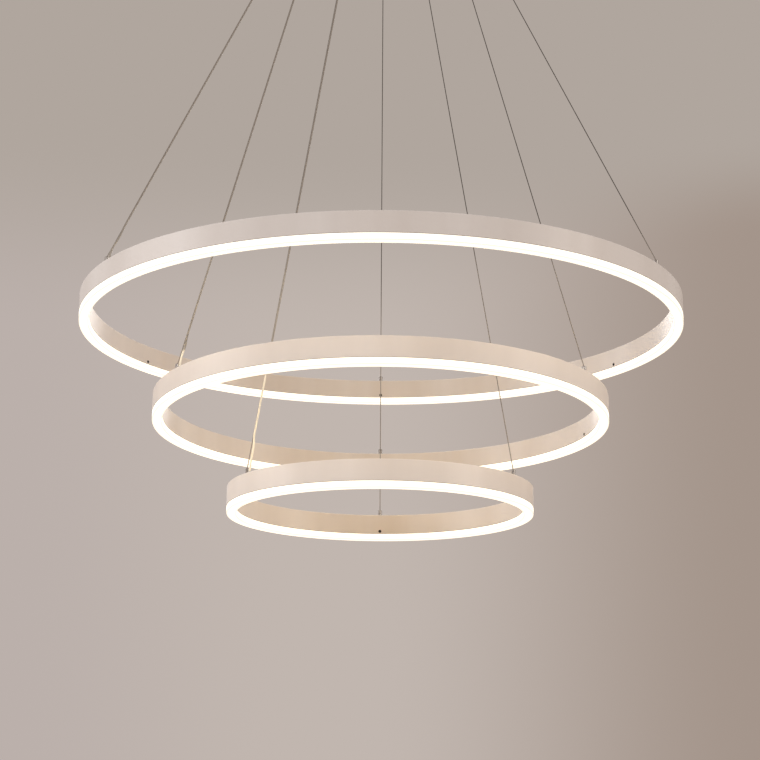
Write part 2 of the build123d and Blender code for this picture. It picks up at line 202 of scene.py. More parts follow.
def grid_surface(
    loops: Array, ends: Ends, lengthwise: Array | None = None, marks: Mapping[str, Array] | None = None
) -> Surface:
    """A closed surface through a stack of closed loops with the same number of points.

    Corner (i, j) of the grid joins (i, j + 1), (i + 1, j + 1) and (i + 1, j), and j runs round
    each loop and back to its start.

    Args:
        loops: places of shape (loops, points in a loop, 3).
        ends: how the first and last loop are closed.
        lengthwise: the V coordinate of each loop. It is the loop's number where none is given.
        marks: named values, of shape (loops, points in a loop).

    Returns:
        The surface, with its faces pointing outwards.
    """
    rows, columns = loops.shape[:2]
    number = np.arange(rows * columns).reshape(rows, columns)
    v_of_row = np.arange(rows, dtype=float) if lengthwise is None else lengthwise
    if ends is Ends.RING:
        number = np.concatenate((number, number[:1]))
        v_of_row = np.append(v_of_row, 2 * v_of_row[-1] - v_of_row[-2])
    number = np.concatenate((number, number[:, :1]), axis=1)
    u, v = np.meshgrid(np.linspace(0, 1, columns + 1), v_of_row)
    here, on = slice(None, -1), slice(1, None)
    corners = ((here, here), (here, on), (on, on), (on, here))
    quads = np.stack([number[corner].ravel() for corner in corners], axis=1)
    quad_uv = np.stack([np.stack((u[corner], v[corner]), -1).reshape(-1, 2) for corner in corners], 1)
    points = loops.reshape(-1, 3)
    values = {name: value.ravel() for name, value in (marks or {}).items()}
    tris, tri_uv = np.zeros((0, 3), int), np.zeros((0, 2))
    if ends is Ends.FANS:
        middles = loops[[0, -1]].mean(axis=1)
        for end, step in ((0, 1), (rows - 1, -1)):
            rim = number[end]
            middle = np.full(columns, len(points) + (end > 0))
            fan = np.stack((middle, rim[1:], rim[:-1]), axis=1)[:, ::step]
            tris = np.concatenate((tris, fan))
            tri_uv = np.concatenate((tri_uv, np.full((3 * columns, 2), (0.5, v_of_row[end]))))
        values = {name: np.append(value, (marks[name][0].mean(), marks[name][-1].mean()))
                  for name, value in values.items()}
        points = np.concatenate((points, middles))
    uv = np.concatenate((quad_uv.reshape(-1, 2), tri_uv))
    return Surface(points, quads, tris, uv, values).outward()


@dataclass(frozen=True)
class Profile:
    """A chain of points in a plane whose corners are rounded.

    Attributes:
        points: rows of (across, along) places.
        rounds: one where a point lies on a rounded corner, and zero on the flats.
    """

    points: Array
    rounds: Array


def rounded(
    corners: Sequence[tuple[float, float]], radii: float | Sequence[float], closed: bool, steps: int = 4
) -> Profile:
    """Rounds the corners of an outline.

    A corner of radius r between two sides at an angle A becomes an arc that touches both sides
    at r / tan(A / 2) from the corner. Its points turn evenly about the arc's centre. One more
    point on each side, just past the arc, keeps the shading of the flats flat.

    Args:
        corners: the outline's corners, in order.
        radii: one radius for every corner, or one for each.
        closed: whether the last corner joins the first.
        steps: how many pieces each arc is cut into.

    Returns:
        The rounded profile.
    """
    given = np.array(corners, float)
    radius = np.broadcast_to(np.asarray(radii, float), (len(given),))
    points, rounds = [], []
    for index, corner in enumerate(given):
        at_end = not closed and index in (0, len(given) - 1)
        if at_end or radius[index] <= 0:
            points.append(corner[None])
            rounds.append([0.0])
            continue
        before, after = given[index - 1] - corner, given[(index + 1) % len(given)] - corner
        u, v = before / np.linalg.norm(before), after / np.linalg.norm(after)
        half = math.acos(float(np.clip(u @ v, -1, 1))) / 2
        reach = radius[index] / math.tan(half)
        centre = corner + (u + v) / np.linalg.norm(u + v) * radius[index] / math.sin(half)
        first, last = corner + u * reach - centre, corner + v * reach - centre
        sweep = math.pi - 2 * half
        share = np.linspace(0, 1, steps + 1)[:, None]
        arc = (np.sin((1 - share) * sweep) * first + np.sin(share * sweep) * last) / math.sin(sweep)
        guard = min(0.5 * radius[index], 0.1 * np.linalg.norm(before), 0.1 * np.linalg.norm(after))
        past = reach + guard
        points += [(corner + u * past)[None], centre + arc, (corner + v * past)[None]]
        rounds += [[0.0], np.ones(steps + 1), [0.0]]
    return Profile(np.concatenate(points), np.concatenate(rounds))


def turned(
    profile: Profile, steps: int, ends: Ends, fluting: Array | float = 0.0, flutes: int = 0
) -> Surface:
    """Turns a profile of (radius, height) points round the Z axis.

    The point at angle t is (r cos t, r sin t, height), where r is the profile's radius less half
    the fluting's depth times 1 - cos (flutes t).

    Args:
        profile: the section.
        steps: how many points there are round the axis.
        ends: whether the section is closed, or closed off by a fan at each end.
        fluting: how deep the flutes are at each point of the profile.
        flutes: how many flutes there are.

    Returns:
        The turned surface, with the mark "edge" on the rounded corners.
    """
    angle = full_turn(steps)
    radius, height = profile.points[:, :1], profile.points[:, 1:]
    radius = radius - np.reshape(fluting, (-1, 1)) / 2 * (1 - np.cos(flutes * angle))
    edge = np.repeat(profile.rounds[:, None], steps, axis=1)
    return grid_surface(loops_round(radius, angle, height), ends, run_along(profile.points), {"edge": edge})


def hexagonal(angle: Array, inradius: float) -> Array:
    """The distance from the middle of a hexagon to its side, at each angle in radians."""
    sixth = np.pi / 3
    return inradius / np.cos((angle + sixth / 2) % sixth - sixth / 2)


@dataclass(frozen=True)
class SocketHead:
    """A screw's head or end with a hexagon socket.

    Attributes:
        radius: the screw's radius.
        length: how far it reaches back from its face.
        socket: half the socket's width across its flats.
        depth: how deep the socket is.
    """

    radius: float
    length: float
    socket: float
    depth: float

    def surface(self) -> Surface:
        """Builds the screw along Z, with its face at height zero and its back at minus its length.

        Loops run up the side, over a small bevel and in to the socket. Those in the socket have
        the radius of a hexagon at each angle. Each row holds a loop's radius, its height and one
        where it lies on an edge.

        Returns:
            The screw's surface.
        """
        angle = full_turn(SCREW_STEPS)
        bevel = 0.12 * self.radius
        hexagon = hexagonal(angle, self.socket)
        rows = (
            (self.radius, -self.length, 0),
            (self.radius, -bevel, 0),
            (self.radius - 0.3 * bevel, -0.3 * bevel, 1),
            (self.radius - bevel, 0.0, 1),
            ((self.radius + 2 * self.socket) / 3, 0.0, 0),
            (hexagon + 0.4 * bevel, 0.0, 0),
            (hexagon, -0.4 * bevel, 1),
            (hexagon, -self.depth, 0),
            (0.5 * hexagon, -self.depth - 0.2 * self.socket, 0),
        )
        radii = np.array([np.broadcast_to(row[0], angle.shape) for row in rows])
        height, edge = np.array([row[1:] for row in rows], float).T[..., None]
        marks = {"edge": np.broadcast_to(edge, radii.shape)}
        return grid_surface(loops_round(radii, angle, height), Ends.FANS, marks=marks)


# ------------------------------------------------------------------------------ routes


def spline(points: Sequence[Array], spacing: float) -> Array:
    """Samples the smooth line that a cord's route points control.

    Args:
        points: the route, as control points of a NURBS spline that ends on the first and last.
        spacing: about how far apart the samples are.

    Returns:
        Places along the line, evenly spaced.
    """
    data = bpy.data.curves.new("route", "CURVE")
    data.dimensions = "3D"
    data.resolution_u = 32
    line = data.splines.new("NURBS")
    line.points.add(len(points) - 1)
    line.points.foreach_set("co", np.column_stack((points, np.ones(len(points)))).ravel())
    line.order_u = 3
    line.use_endpoint_u = True
    carrier = bpy.data.objects.new("route", data)
    mesh = bpy.data.meshes.new_from_object(carrier)
    dense = np.empty(len(mesh.vertices) * 3)
    mesh.vertices.foreach_get("co", dense)
    dense = dense.reshape(-1, 3)
    bpy.data.objects.remove(carrier)
    bpy.data.curves.remove(data)
    bpy.data.meshes.remove(mesh)
    run = run_along(dense)
    at = np.linspace(0, run[-1], max(int(round(run[-1] / spacing)), 2) + 1)
    return np.stack([np.interp(at, run, dense[:, axis]) for axis in range(3)], axis=1)


def along(path: Array, radii: Array, sideways: Array, mark: Array) -> Surface:
    """Carries a section along a path.

    At each place the section stands square to the path. Its first axis is the sideways direction
    made square to the path, and its second is square to both. A point at angle t lies at
    radius (cos t first + sin t second) from the path.

    Args:
        path: places of shape (places, 3).
        radii: the section's radius at each place and angle.
        sideways: a direction that the path never follows.
        mark: the value "groove" at each place and angle.

    Returns:
        The tube, with V running in metres along it.
    """
    angle = full_turn(radii.shape[1])[None, :, None]
    ahead = np.gradient(path, axis=0)
    ahead /= np.linalg.norm(ahead, axis=1, keepdims=True)
    first = sideways - (ahead @ sideways)[:, None] * ahead
    first /= np.linalg.norm(first, axis=1, keepdims=True)
    second = np.cross(ahead, first)
    ring = np.cos(angle) * first[:, None] + np.sin(angle) * second[:, None]
    loops = path[:, None] + radii[..., None] * ring
    return grid_surface(loops, Ends.FANS, run_along(path), {"groove": mark})


# ------------------------------------------------------------------------------ shader nodes


class Nodes:
    """A node tree that is being wired up."""

    def __init__(self, tree: bpy.types.NodeTree) -> None:
        """Keeps the tree that the nodes go into."""
        self.tree = tree

    def put(self, socket: Socket, value: Value) -> None:
        """Links an output to an input, or sets the input.

        Args:
            socket: the input.
            value: the output that feeds it, or its value.
        """
        if isinstance(value, Socket):
            self.tree.links.new(value, socket)
        else:
            socket.default_value = value

    def feed(self, node: bpy.types.Node, inputs: Inputs) -> None:
        """Sets or links several inputs of a node, by name or number."""
        for name, value in inputs.items():
            self.put(node.inputs[name], value)

    def add(self, kind: str, inputs: Inputs | None = None, **settings) -> bpy.types.Node:
        """Adds a node.

        Args:
            kind: the node's type.
            inputs: for each input, by name or number, a value or the output that feeds it.
            **settings: the node's own properties.

        Returns:
            The new node.
        """
        node = self.tree.nodes.new(kind)
        for name, value in settings.items():
            setattr(node, name, value)
        self.feed(node, inputs or {})
        return node

    def math(self, operation: str, first: Value, second: Value = 0.0) -> Socket:
        """The output of a Math node on one or two values or outputs."""
        return self.add("ShaderNodeMath", {0: first, 1: second}, operation=operation).outputs[0]

    def ramp(
        self, value: Value, low: Value, high: Value, to_low: Value = 0.0, to_high: Value = 1.0,
        ease: bool = False,
    ) -> Socket:
        """Brings a value from one range to another, and holds it there.

        Args:
            value: the value.
            low: the start of its range.
            high: the end of its range.
            to_low: the start of the new range.
            to_high: the end of the new range.
            ease: whether it starts and ends gently.

        Returns:
            The output of a Map Range node.
        """
        inputs = {"Value": value, "From Min": low, "From Max": high, "To Min": to_low, "To Max": to_high}
        kind = "SMOOTHSTEP" if ease else "LINEAR"
        return self.add("ShaderNodeMapRange", inputs, interpolation_type=kind).outputs["Result"]

    def blend(self, factor: Value, first: Value, second: Value) -> Socket:
        """Mixes two colours.

        Args:
            factor: how much there is of the second.
            first: the first colour.
            second: the second colour.

        Returns:
            The colour output of a Mix node.
        """
        node = self.add("ShaderNodeMix", {"Factor": factor}, data_type="RGBA")
        sockets = {socket.identifier: socket for socket in (*node.inputs, *node.outputs)}
        self.put(sockets["A_Color"], first)
        self.put(sockets["B_Color"], second)
        return sockets["Result_Color"]

    def mark(self, name: str) -> Socket:
        """The value of one of the piece's marks."""
        return self.add("ShaderNodeAttribute", attribute_name=name).outputs["Fac"]

    def place(self) -> Socket:
        """The place on the piece, in metres."""
        return self.add("ShaderNodeTexCoord").outputs["Object"]

    def axes(self, vector: Socket) -> Sockets:
        """The X, Y and Z of a vector."""
        return self.add("ShaderNodeSeparateXYZ", {0: vector}).outputs

    def noise(self, place: Value, scale: Value, detail: float, roughness: float = 0.5) -> Socket:
        """The value of a Noise texture."""
        inputs = {"Vector": place, "Scale": scale, "Detail": detail, "Roughness": roughness}
        return self.add("ShaderNodeTexNoise", inputs).outputs["Fac"]

    def bump(self, height: Socket, distance: float) -> Socket:
        """The normal of a surface with small heights on it."""
        inputs = {"Height": height, "Distance": distance, "Strength": 1.0}
        return self.add("ShaderNodeBump", inputs).outputs["Normal"]

    def ray_is(self, first: str, *others: str) -> Socket:
        """Finds out whether a ray is of one of several kinds.

        Args:
            first: an output of the Light Path node.
            *others: more of its outputs.

        Returns:
            One where the ray is of one of those kinds, and zero elsewhere.
        """
        path = self.add("ShaderNodeLightPath").outputs
        found = path[first]
        for kind in others:
            found = self.math("MAXIMUM", found, path[kind])
        return found


class Effect(Enum):
    """Surface effects that more than one finish uses, each a shader node group."""

    GRAIN = "fine grain"
    TURNING = "fine lines round the axis"
    RUBBED = "rubbed edges"


NUMBER, COLOUR = "NodeSocketFloat", "NodeSocketColor"
Group = tuple[Nodes, Sockets, bpy.types.Node]


class Effects:
    """Builds the shader node groups once, and places them in materials."""

    _made: dict[Effect, bpy.types.NodeTree] = {}

    @classmethod
    def place(cls, nodes: Nodes, effect: Effect, **values: Value) -> Sockets:
        """Adds an effect to a material.

        Args:
            nodes: the material's tree.
            effect: which effect.
            **values: the group's inputs, with each underscore standing for a space.

        Returns:
            The group node's outputs.
        """
        if effect not in cls._made:
            builders = {Effect.GRAIN: cls._grain, Effect.TURNING: cls._turning, Effect.RUBBED: cls._rubbed}
            cls._made[effect] = builders[effect]()
        inputs = {name.replace("_", " "): value for name, value in values.items()}
        return nodes.add("ShaderNodeGroup", inputs, node_tree=cls._made[effect]).outputs

    @staticmethod
    def _group(effect: Effect, takes: Mapping[str, str], gives: Mapping[str, str]) -> Group:
        """A new node group with named inputs and outputs.

        Args:
            effect: the effect that it holds.
            takes: the name and the socket type of each input.
            gives: the same of each output.

        Returns:
            The group's nodes, what comes in, and the node that it gives its outputs through.
        """
        tree = bpy.data.node_groups.new(effect.value, "ShaderNodeTree")
        for way, sockets in (("INPUT", takes), ("OUTPUT", gives)):
            for name, kind in sockets.items():
                tree.interface.new_socket(name, in_out=way, socket_type=kind)
        nodes = Nodes(tree)
        return nodes, nodes.add("NodeGroupInput").outputs, nodes.add("NodeGroupOutput")

    @classmethod
    def _noise_group(cls, effect: Effect, first: str, second: str) -> Group:
        """A new group for a noise with two inputs of its own, and the limits Low and High of its value."""
        takes = {name: NUMBER for name in (first, second, "Low", "High")}
        return cls._group(effect, takes, {"Value": NUMBER, "Height": NUMBER})

    @staticmethod
    def _give_noise(nodes: Nodes, given: Sockets, out: bpy.types.Node, noise: Socket) -> bpy.types.NodeTree:
        """Ends a group that gives a noise as a height, and as a value between its limits.

        Args:
            nodes: the group's nodes.
            given: what comes into the group.
            out: the node that it gives its outputs through.
            noise: the noise, which seldom leaves the range from 0.3 to 0.7.

        Returns:
            The group.
        """
        nodes.feed(out, {"Value": nodes.ramp(noise, 0.3, 0.7, given["Low"], given["High"]), "Height": noise})
        return nodes.tree

    @classmethod
    def _grain(cls) -> bpy.types.NodeTree:
        """Noise at one scale. Where Upright is one it is the same all the way up, in upright bands.

        Returns:
            The group.
        """
        nodes, given, out = cls._noise_group(Effect.GRAIN, "Scale", "Upright")
        axes = nodes.axes(nodes.place())
        height = nodes.math("MULTIPLY", axes["Z"], nodes.math("SUBTRACT", 1.0, given["Upright"]))
        level = {"X": axes["X"], "Y": axes["Y"], "Z": height}
        vector = nodes.add("ShaderNodeCombineXYZ", level).outputs[0]
        return cls._give_noise(nodes, given, out, nodes.noise(vector, given["Scale"], 4.0, 0.55))

    @classmethod
    def _turning(cls) -> bpy.types.NodeTree:
        """Noise that is drawn out round the Z axis, so that it lies in fine level lines.

        Returns:
            The group.
        """
        nodes, given, out = cls._noise_group(Effect.TURNING, "Lines", "Around")
        axes = nodes.axes(nodes.place())
        around = nodes.math("MULTIPLY", nodes.math("ARCTAN2", axes["Y"], axes["X"]), given["Around"])
        level = nodes.math("MULTIPLY", axes["Z"], given["Lines"])
        vector = nodes.add("ShaderNodeCombineXYZ", {"X": around, "Z": level}).outputs[0]
        return cls._give_noise(nodes, given, out, nodes.noise(vector, 1.0, 3.0, 0.6))

    @classmethod
    def _rubbed(cls) -> bpy.types.NodeTree:
        """The mark "edge", broken up by noise, and a colour that turns to another there.

        Returns:
            The group.
        """
        takes = {"Colour": COLOUR, "Rubbed Colour": COLOUR, "Amount": NUMBER}
        nodes, given, out = cls._group(Effect.RUBBED, takes, {"Color": COLOUR, "Mask": NUMBER})
        worn = nodes.ramp(nodes.noise(nodes.place(), 90.0, 3.0), 0.35, 0.65, 0.35, 1.0)
        mask = nodes.math("MULTIPLY", nodes.math("MULTIPLY", nodes.mark("edge"), worn), given["Amount"])
        nodes.feed(out, {"Color": nodes.blend(mask, given["Colour"], given["Rubbed Colour"]), "Mask": mask})
        return nodes.tree


# ------------------------------------------------------------------------------ finishes


@dataclass(frozen=True)
class Finish:
    """A surface finish, which makes its material the first time it is asked for.

    Attributes:
        slot: the record's material slot.
    """

    slot: str
    _made: ClassVar[dict["Finish", bpy.types.Material]] = {}

    def material(self) -> bpy.types.Material:
        """Makes the material, unless it is there.

        Returns:
            The finish's material.
        """
        if self not in Finish._made:
            made = bpy.data.materials.new(type(self).__name__.lower() + "_" + self.slot)
            made.use_nodes = True
            made.node_tree.nodes.clear()
            nodes = Nodes(made.node_tree)
            shader = nodes.add("ShaderNodeBsdfPrincipled")
            nodes.add("ShaderNodeOutputMaterial", {"Surface": shader.outputs[0]})
            nodes.feed(shader, self.looks(nodes))
            Finish._made[self] = made
        return Finish._made[self]

    def looks(self, nodes: Nodes) -> dict[str, Value]:
        """Lays out the finish.

        Args:
            nodes: the nodes of its material.

        Returns:
            For each input of the Principled shader, a value or the output that feeds it.
        """
        raise NotImplementedError


@dataclass(frozen=True)
class SatinCoat(Finish):
    """Satin lacquer over rolled aluminium or pressed steel.

    Attributes:
        colour: the lacquer's colour.
        shade: its colour in the darker upright bands, a painted reflection of the room.
        inner: its colour on a ring's inner wall, warmer and darker: painted shade and warm cap light.
        inner_shade: its colour there in the darker upright bands of painted reflection.
        rub: its colour where the edges are worn thin.
        metallic: how much the metal shows through.
        roughness: the middle of the roughness.
        seam: its colour at the lip beside the cap, a painted shadow of the gap there.
    """

    colour: Colour
    shade: Colour
    inner: Colour
    inner_shade: Colour
    rub: Colour
    metallic: float
    roughness: float
    seam: Colour = linear(112, 92, 76)

    def looks(self, nodes: Nodes) -> dict[str, Value]:
        """Paints soft upright bands of reflection into the colour, paints shade and warm cap light on
        the inner wall and shade at the lip, wears the edges, and lays fine lines round the wall.

        Args:
            nodes: the nodes of its material.

        Returns:
            What feeds the shader.
        """
        # Painted reflection: soft upright light and dark bands round the wall.
        bands = Effects.place(nodes, Effect.GRAIN, Scale=8.0, Upright=1.0, Low=0.0, High=1.0)["Value"]
        outer = nodes.blend(bands, self.colour, self.shade)
        # Painted shade and warm cap light on the inner wall, most at the ring's back and front.
        inner = nodes.blend(bands, self.inner, self.inner_shade)
        wall = nodes.blend(nodes.mark("inside"), outer, inner)
        # Painted shadow of the gap along the lip beside the cap.
        colour = nodes.blend(nodes.mark("lip"), wall, self.seam)
        worn = Effects.place(nodes, Effect.RUBBED, Colour=colour, Rubbed_Colour=self.rub, Amount=0.5)
        low, high = self.roughness - 0.03, self.roughness + 0.05
        lines = Effects.place(nodes, Effect.TURNING, Lines=5200.0, Around=3.0, Low=low, High=high)
        peel = Effects.place(nodes, Effect.GRAIN, Scale=420.0, Low=0.0, High=1.0)
        heights = nodes.math("ADD", nodes.math("MULTIPLY", lines["Height"], 0.5), peel["Height"])
        return {
            "Base Color": worn["Color"],
            "Roughness": lines["Value"],
            "Metallic": self.metallic,
            "Coat Weight": 0.12,
            "Coat Roughness": 0.22,
            "Normal": nodes.bump(heights, 0.005 * MM),
        }


@dataclass(frozen=True)
class OpalGlow(Finish):
    """Opal plastic, lit from behind.

    Attributes:
        colour: the plastic's own colour.
        seam: its colour at the seam, a painted shade of the gap.
        light: the colour of its light over the floor of the cap.
        rim: the colour of its light at the seam, dimmed to paint the shade of the gap.
        strength: how bright it is.
        seen: the colour of the floor, as a camera set for the room sees it.
        seen_rim: the colour of the seam, seen in the same way.
    """

    colour: Colour
    seam: Colour
    light: Colour
    rim: Colour
    strength: float
    seen: Colour
    seen_rim: Colour

    def dimmed(self, colour: Colour) -> Colour:
        """The colour that the strength brings up to the one given."""
        return tuple(channel / self.strength for channel in colour)

    def looks(self, nodes: Nodes) -> dict[str, Value]:
        """Lights the cap evenly, with a warmer, dimmer line painted at its seam for the shade of the gap.

        The camera and the gloss of other pieces see it as bright as white paper, as an exposure for
        the room would show it, and the pieces round it get its whole light.

        Args:
            nodes: the nodes of its material.

        Returns:
            What feeds the shader.
        """
        # Painted shade of the gap: a dark line at the seam, in the colour and in the light.
        glow = nodes.mark("glow")
        shown = nodes.blend(glow, self.dimmed(self.seen_rim), self.dimmed(self.seen))
        given = nodes.blend(glow, self.rim, self.light)
        is_seen = nodes.ray_is("Is Camera Ray", "Is Glossy Ray")
        return {
            "Base Color": nodes.blend(glow, self.seam, self.colour),
            "Roughness": Effects.place(nodes, Effect.GRAIN, Scale=60.0, Low=0.32, High=0.42)["Value"],
            "Emission Color": nodes.blend(is_seen, given, shown),
            "Emission Strength": self.strength,
        }


@dataclass(frozen=True)
class PlatedMetal(Finish):
    """Plated or bare metal with the marks of its turning.

    Attributes:
        colour: the metal's colour.
        dull: its colour where it is handled or tarnished.
        roughness: the middle of the roughness.
        lines: how many turning lines there are in a metre, or none.
    """

    colour: Colour
    dull: Colour
    roughness: float
    lines: float = 0.0

    def looks(self, nodes: Nodes) -> dict[str, Value]:
        """Dulls the metal in patches, and lays turning lines on it where it has them.

        Args:
            nodes: the nodes of its material.

        Returns:
            What feeds the shader.
        """
        limits = {"Low": 0.6 * self.roughness, "High": 1.5 * self.roughness}
        patches = Effects.place(nodes, Effect.GRAIN, Scale=160.0, Low=0.0, High=1.0)
        if self.lines > 0:
            skin = Effects.place(nodes, Effect.TURNING, Lines=self.lines, Around=0.2, **limits)
        else:
            skin = Effects.place(nodes, Effect.GRAIN, Scale=900.0, **limits)
        return {
            "Base Color": nodes.blend(patches["Value"], self.colour, self.dull),
            "Roughness": skin["Value"],
            "Metallic": 1.0,
            "Normal": nodes.bump(skin["Height"], 0.01 * MM),
        }


@dataclass(frozen=True)
class WireRope(Finish):
    """Stranded steel, with painted shade in the grooves between its strands.

    Attributes:
        colour: the strands' colour.
        groove: the colour between them, a painted shade.
        clean: the strands' colour low down, paler: painted light from the lit caps.
    """

    colour: Colour
    groove: Colour
    clean: Colour

    def looks(self, nodes: Nodes) -> dict[str, Value]:
        """Paints shade into the grooves and the caps' light on the strands low down, and scatters
        single bright wires over the strands.

        Args:
            nodes: the nodes of its material.

        Returns:
            What feeds the shader.
        """
        # Painted shade in the grooves, and painted cap light on the strands low down.
        depth = nodes.mark("groove")
        strands = nodes.blend(nodes.mark("low"), self.colour, self.clean)
        return {
            "Base Color": nodes.blend(depth, strands, self.groove),
            "Roughness": Effects.place(nodes, Effect.GRAIN, Scale=2600.0, Low=0.5, High=0.65)["Value"],
            "Metallic": nodes.ramp(depth, 0.0, 1.0, 0.45, 0.3),
        }


@dataclass(frozen=True)
class Moulded(Finish):
    """Moulded plastic with a fine spark-eroded skin, or dull blackened steel.

    Attributes:
        colour: its colour.
        shade: its colour in the duller patches.
        roughness: the middle of the roughness.
        clear: how much light passes through it.
    """

    colour: Colour
    shade: Colour
    roughness: float
    clear: float = 0.0

    def looks(self, nodes: Nodes) -> dict[str, Value]:
        """Mottles the colour a little and roughens the skin.

        Args:
            nodes: the nodes of its material.

        Returns:
            What feeds the shader.
        """
        patches = Effects.place(nodes, Effect.GRAIN, Scale=45.0, Low=0.0, High=1.0)
        low, high = self.roughness - 0.05, self.roughness + 0.08
        skin = Effects.place(nodes, Effect.GRAIN, Scale=1500.0, Low=low, High=high)
        return {
            "Base Color": nodes.blend(patches["Value"], self.colour, self.shade),
            "Roughness": skin["Value"],
            "Transmission Weight": self.clear,
            "Normal": nodes.bump(skin["Height"], 0.02 * MM),
        }


@dataclass(frozen=True)
class ClearJacket(Finish):
    """A clear jacket over the twisted, tinned conductors of a flexible lead.

    Attributes:
        metal: the colour of the conductors.
        gap: the colour of the gap between them.
        pale: the colour of the lead's lower part, a painted glow of the caps' light.
        pitch: how far the conductors run in one turn.
    """

    metal: Colour
    gap: Colour
    pale: Colour
    pitch: float = 14 * MM

    def looks(self, nodes: Nodes) -> dict[str, Value]:
        """Draws the two conductors as a slow spiral on the jacket's own map, up to where the lead is
        painted pale for the caps' light.

        Args:
            nodes: the nodes of its material.

        Returns:
            What feeds the shader.
        """
        axes = nodes.axes(nodes.add("ShaderNodeUVMap", uv_map="UVMap").outputs[0])
        turns = nodes.math("ADD", axes["X"], nodes.math("DIVIDE", axes["Y"], self.pitch))
        wave = nodes.math("SINE", nodes.math("MULTIPLY", turns, 2 * math.pi))
        # Painted glow: the lead is painted pale where the caps' light falls on it.
        sleeve = nodes.mark("sleeve")
        on_metal = nodes.ramp(nodes.math("ABSOLUTE", wave), 0.05, 0.4)
        conductors = nodes.blend(on_metal, self.gap, self.metal)
        return {
            "Base Color": nodes.blend(sleeve, conductors, self.pale),
            "Roughness": Effects.place(nodes, Effect.GRAIN, Scale=700.0, Low=0.38, High=0.48)["Value"],
            "Metallic": nodes.ramp(sleeve, 0.0, 1.0, 0.6, 0.0),
            "Coat Weight": 0.15,
            "Coat Roughness": 0.12,
        }


@dataclass(frozen=True)
class BoardMask(Finish):
    """A white circuit board with rows of small yellow LEDs.

    Attributes:
        colour: the white mask.
        phosphor: the LEDs' yellow.
    """

    colour: Colour
    phosphor: Colour

    def looks(self, nodes: Nodes) -> dict[str, Value]:
        """Dots the board with LEDs, one in each cell of a Voronoi pattern.

        Args:
            nodes: the nodes of its material.

        Returns:
            What feeds the shader.
        """
        cells = nodes.add("ShaderNodeTexVoronoi", {"Vector": nodes.place(), "Scale": 160.0})
        off_led = nodes.ramp(cells.outputs["Distance"], 0.25, 0.3)
        return {
            "Base Color": nodes.blend(off_led, self.phosphor, self.colour),
            "Roughness": Effects.place(nodes, Effect.GRAIN, Scale=500.0, Low=0.3, High=0.5)["Value"],
        }


# Ring coat: painted reflection bands, painted shade on the inner wall and a painted shadow at the lip.
COAT = SatinCoat(
    "ring_finish", colour=linear(229, 219, 213), shade=linear(214, 202, 194), inner=linear(218, 205, 193),
    inner_shade=linear(199, 180, 161), rub=linear(240, 234, 230), metallic=0.04, roughness=0.36,
)
CANOPY_COAT = SatinCoat(
    "canopy_finish", colour=linear(227, 217, 212), shade=linear(221, 211, 205), inner=linear(227, 217, 212),
    inner_shade=linear(221, 211, 205), rub=linear(238, 232, 228), metallic=0.0, roughness=0.4,
)
# The cap's seam colour, rim light and seen rim paint the shade of the gap.
OPAL = OpalGlow(
    "opal_cap", colour=linear(245, 242, 235), seam=linear(120, 100, 80), light=(1.0, 0.78, 0.44, 1.0),
    rim=(0.04, 0.03, 0.02, 1.0), strength=6.2, seen=linear(240, 228, 205), seen_rim=linear(60, 50, 40),
)
CHROME = PlatedMetal("fitting_chrome", linear(196, 192, 188), linear(168, 163, 158), 0.1, lines=9000.0)
ZINC = PlatedMetal("zinc_steel", linear(216, 218, 221), linear(186, 190, 194), 0.3)
BRASS = PlatedMetal("earth_brass", linear(214, 176, 98), linear(170, 132, 70), 0.25)
# Rope: a painted shade in the grooves and painted cap light low down.
ROPE = WireRope("steel_wire", linear(100, 93, 87), linear(38, 35, 33), linear(176, 165, 154))
# Lead: its pale colour is a painted glow of the caps' light.
JACKET = ClearJacket(
    "lead_jacket", metal=linear(158, 149, 140), gap=linear(132, 124, 115), pale=linear(250, 240, 220)
)
# Black screw heads: their own black, and at their widened rims a painted shadow of the holes.
BLACKENED = Moulded("black_screw", linear(27, 17, 9), linear(19, 12, 7), 0.78)
CLEAR = Moulded("clear_plastic", linear(232, 228, 220), linear(222, 216, 206), 0.25, clear=0.5)
DRIVER_CASE = Moulded("driver_case", linear(228, 228, 226), linear(218, 218, 215), 0.5)
TERMINAL = Moulded("white_plastic", linear(238, 238, 234), linear(226, 226, 220), 0.35)
BOARD = BoardMask("led_board", linear(240, 240, 234), linear(236, 190, 60))


# ------------------------------------------------------------------------------ pieces


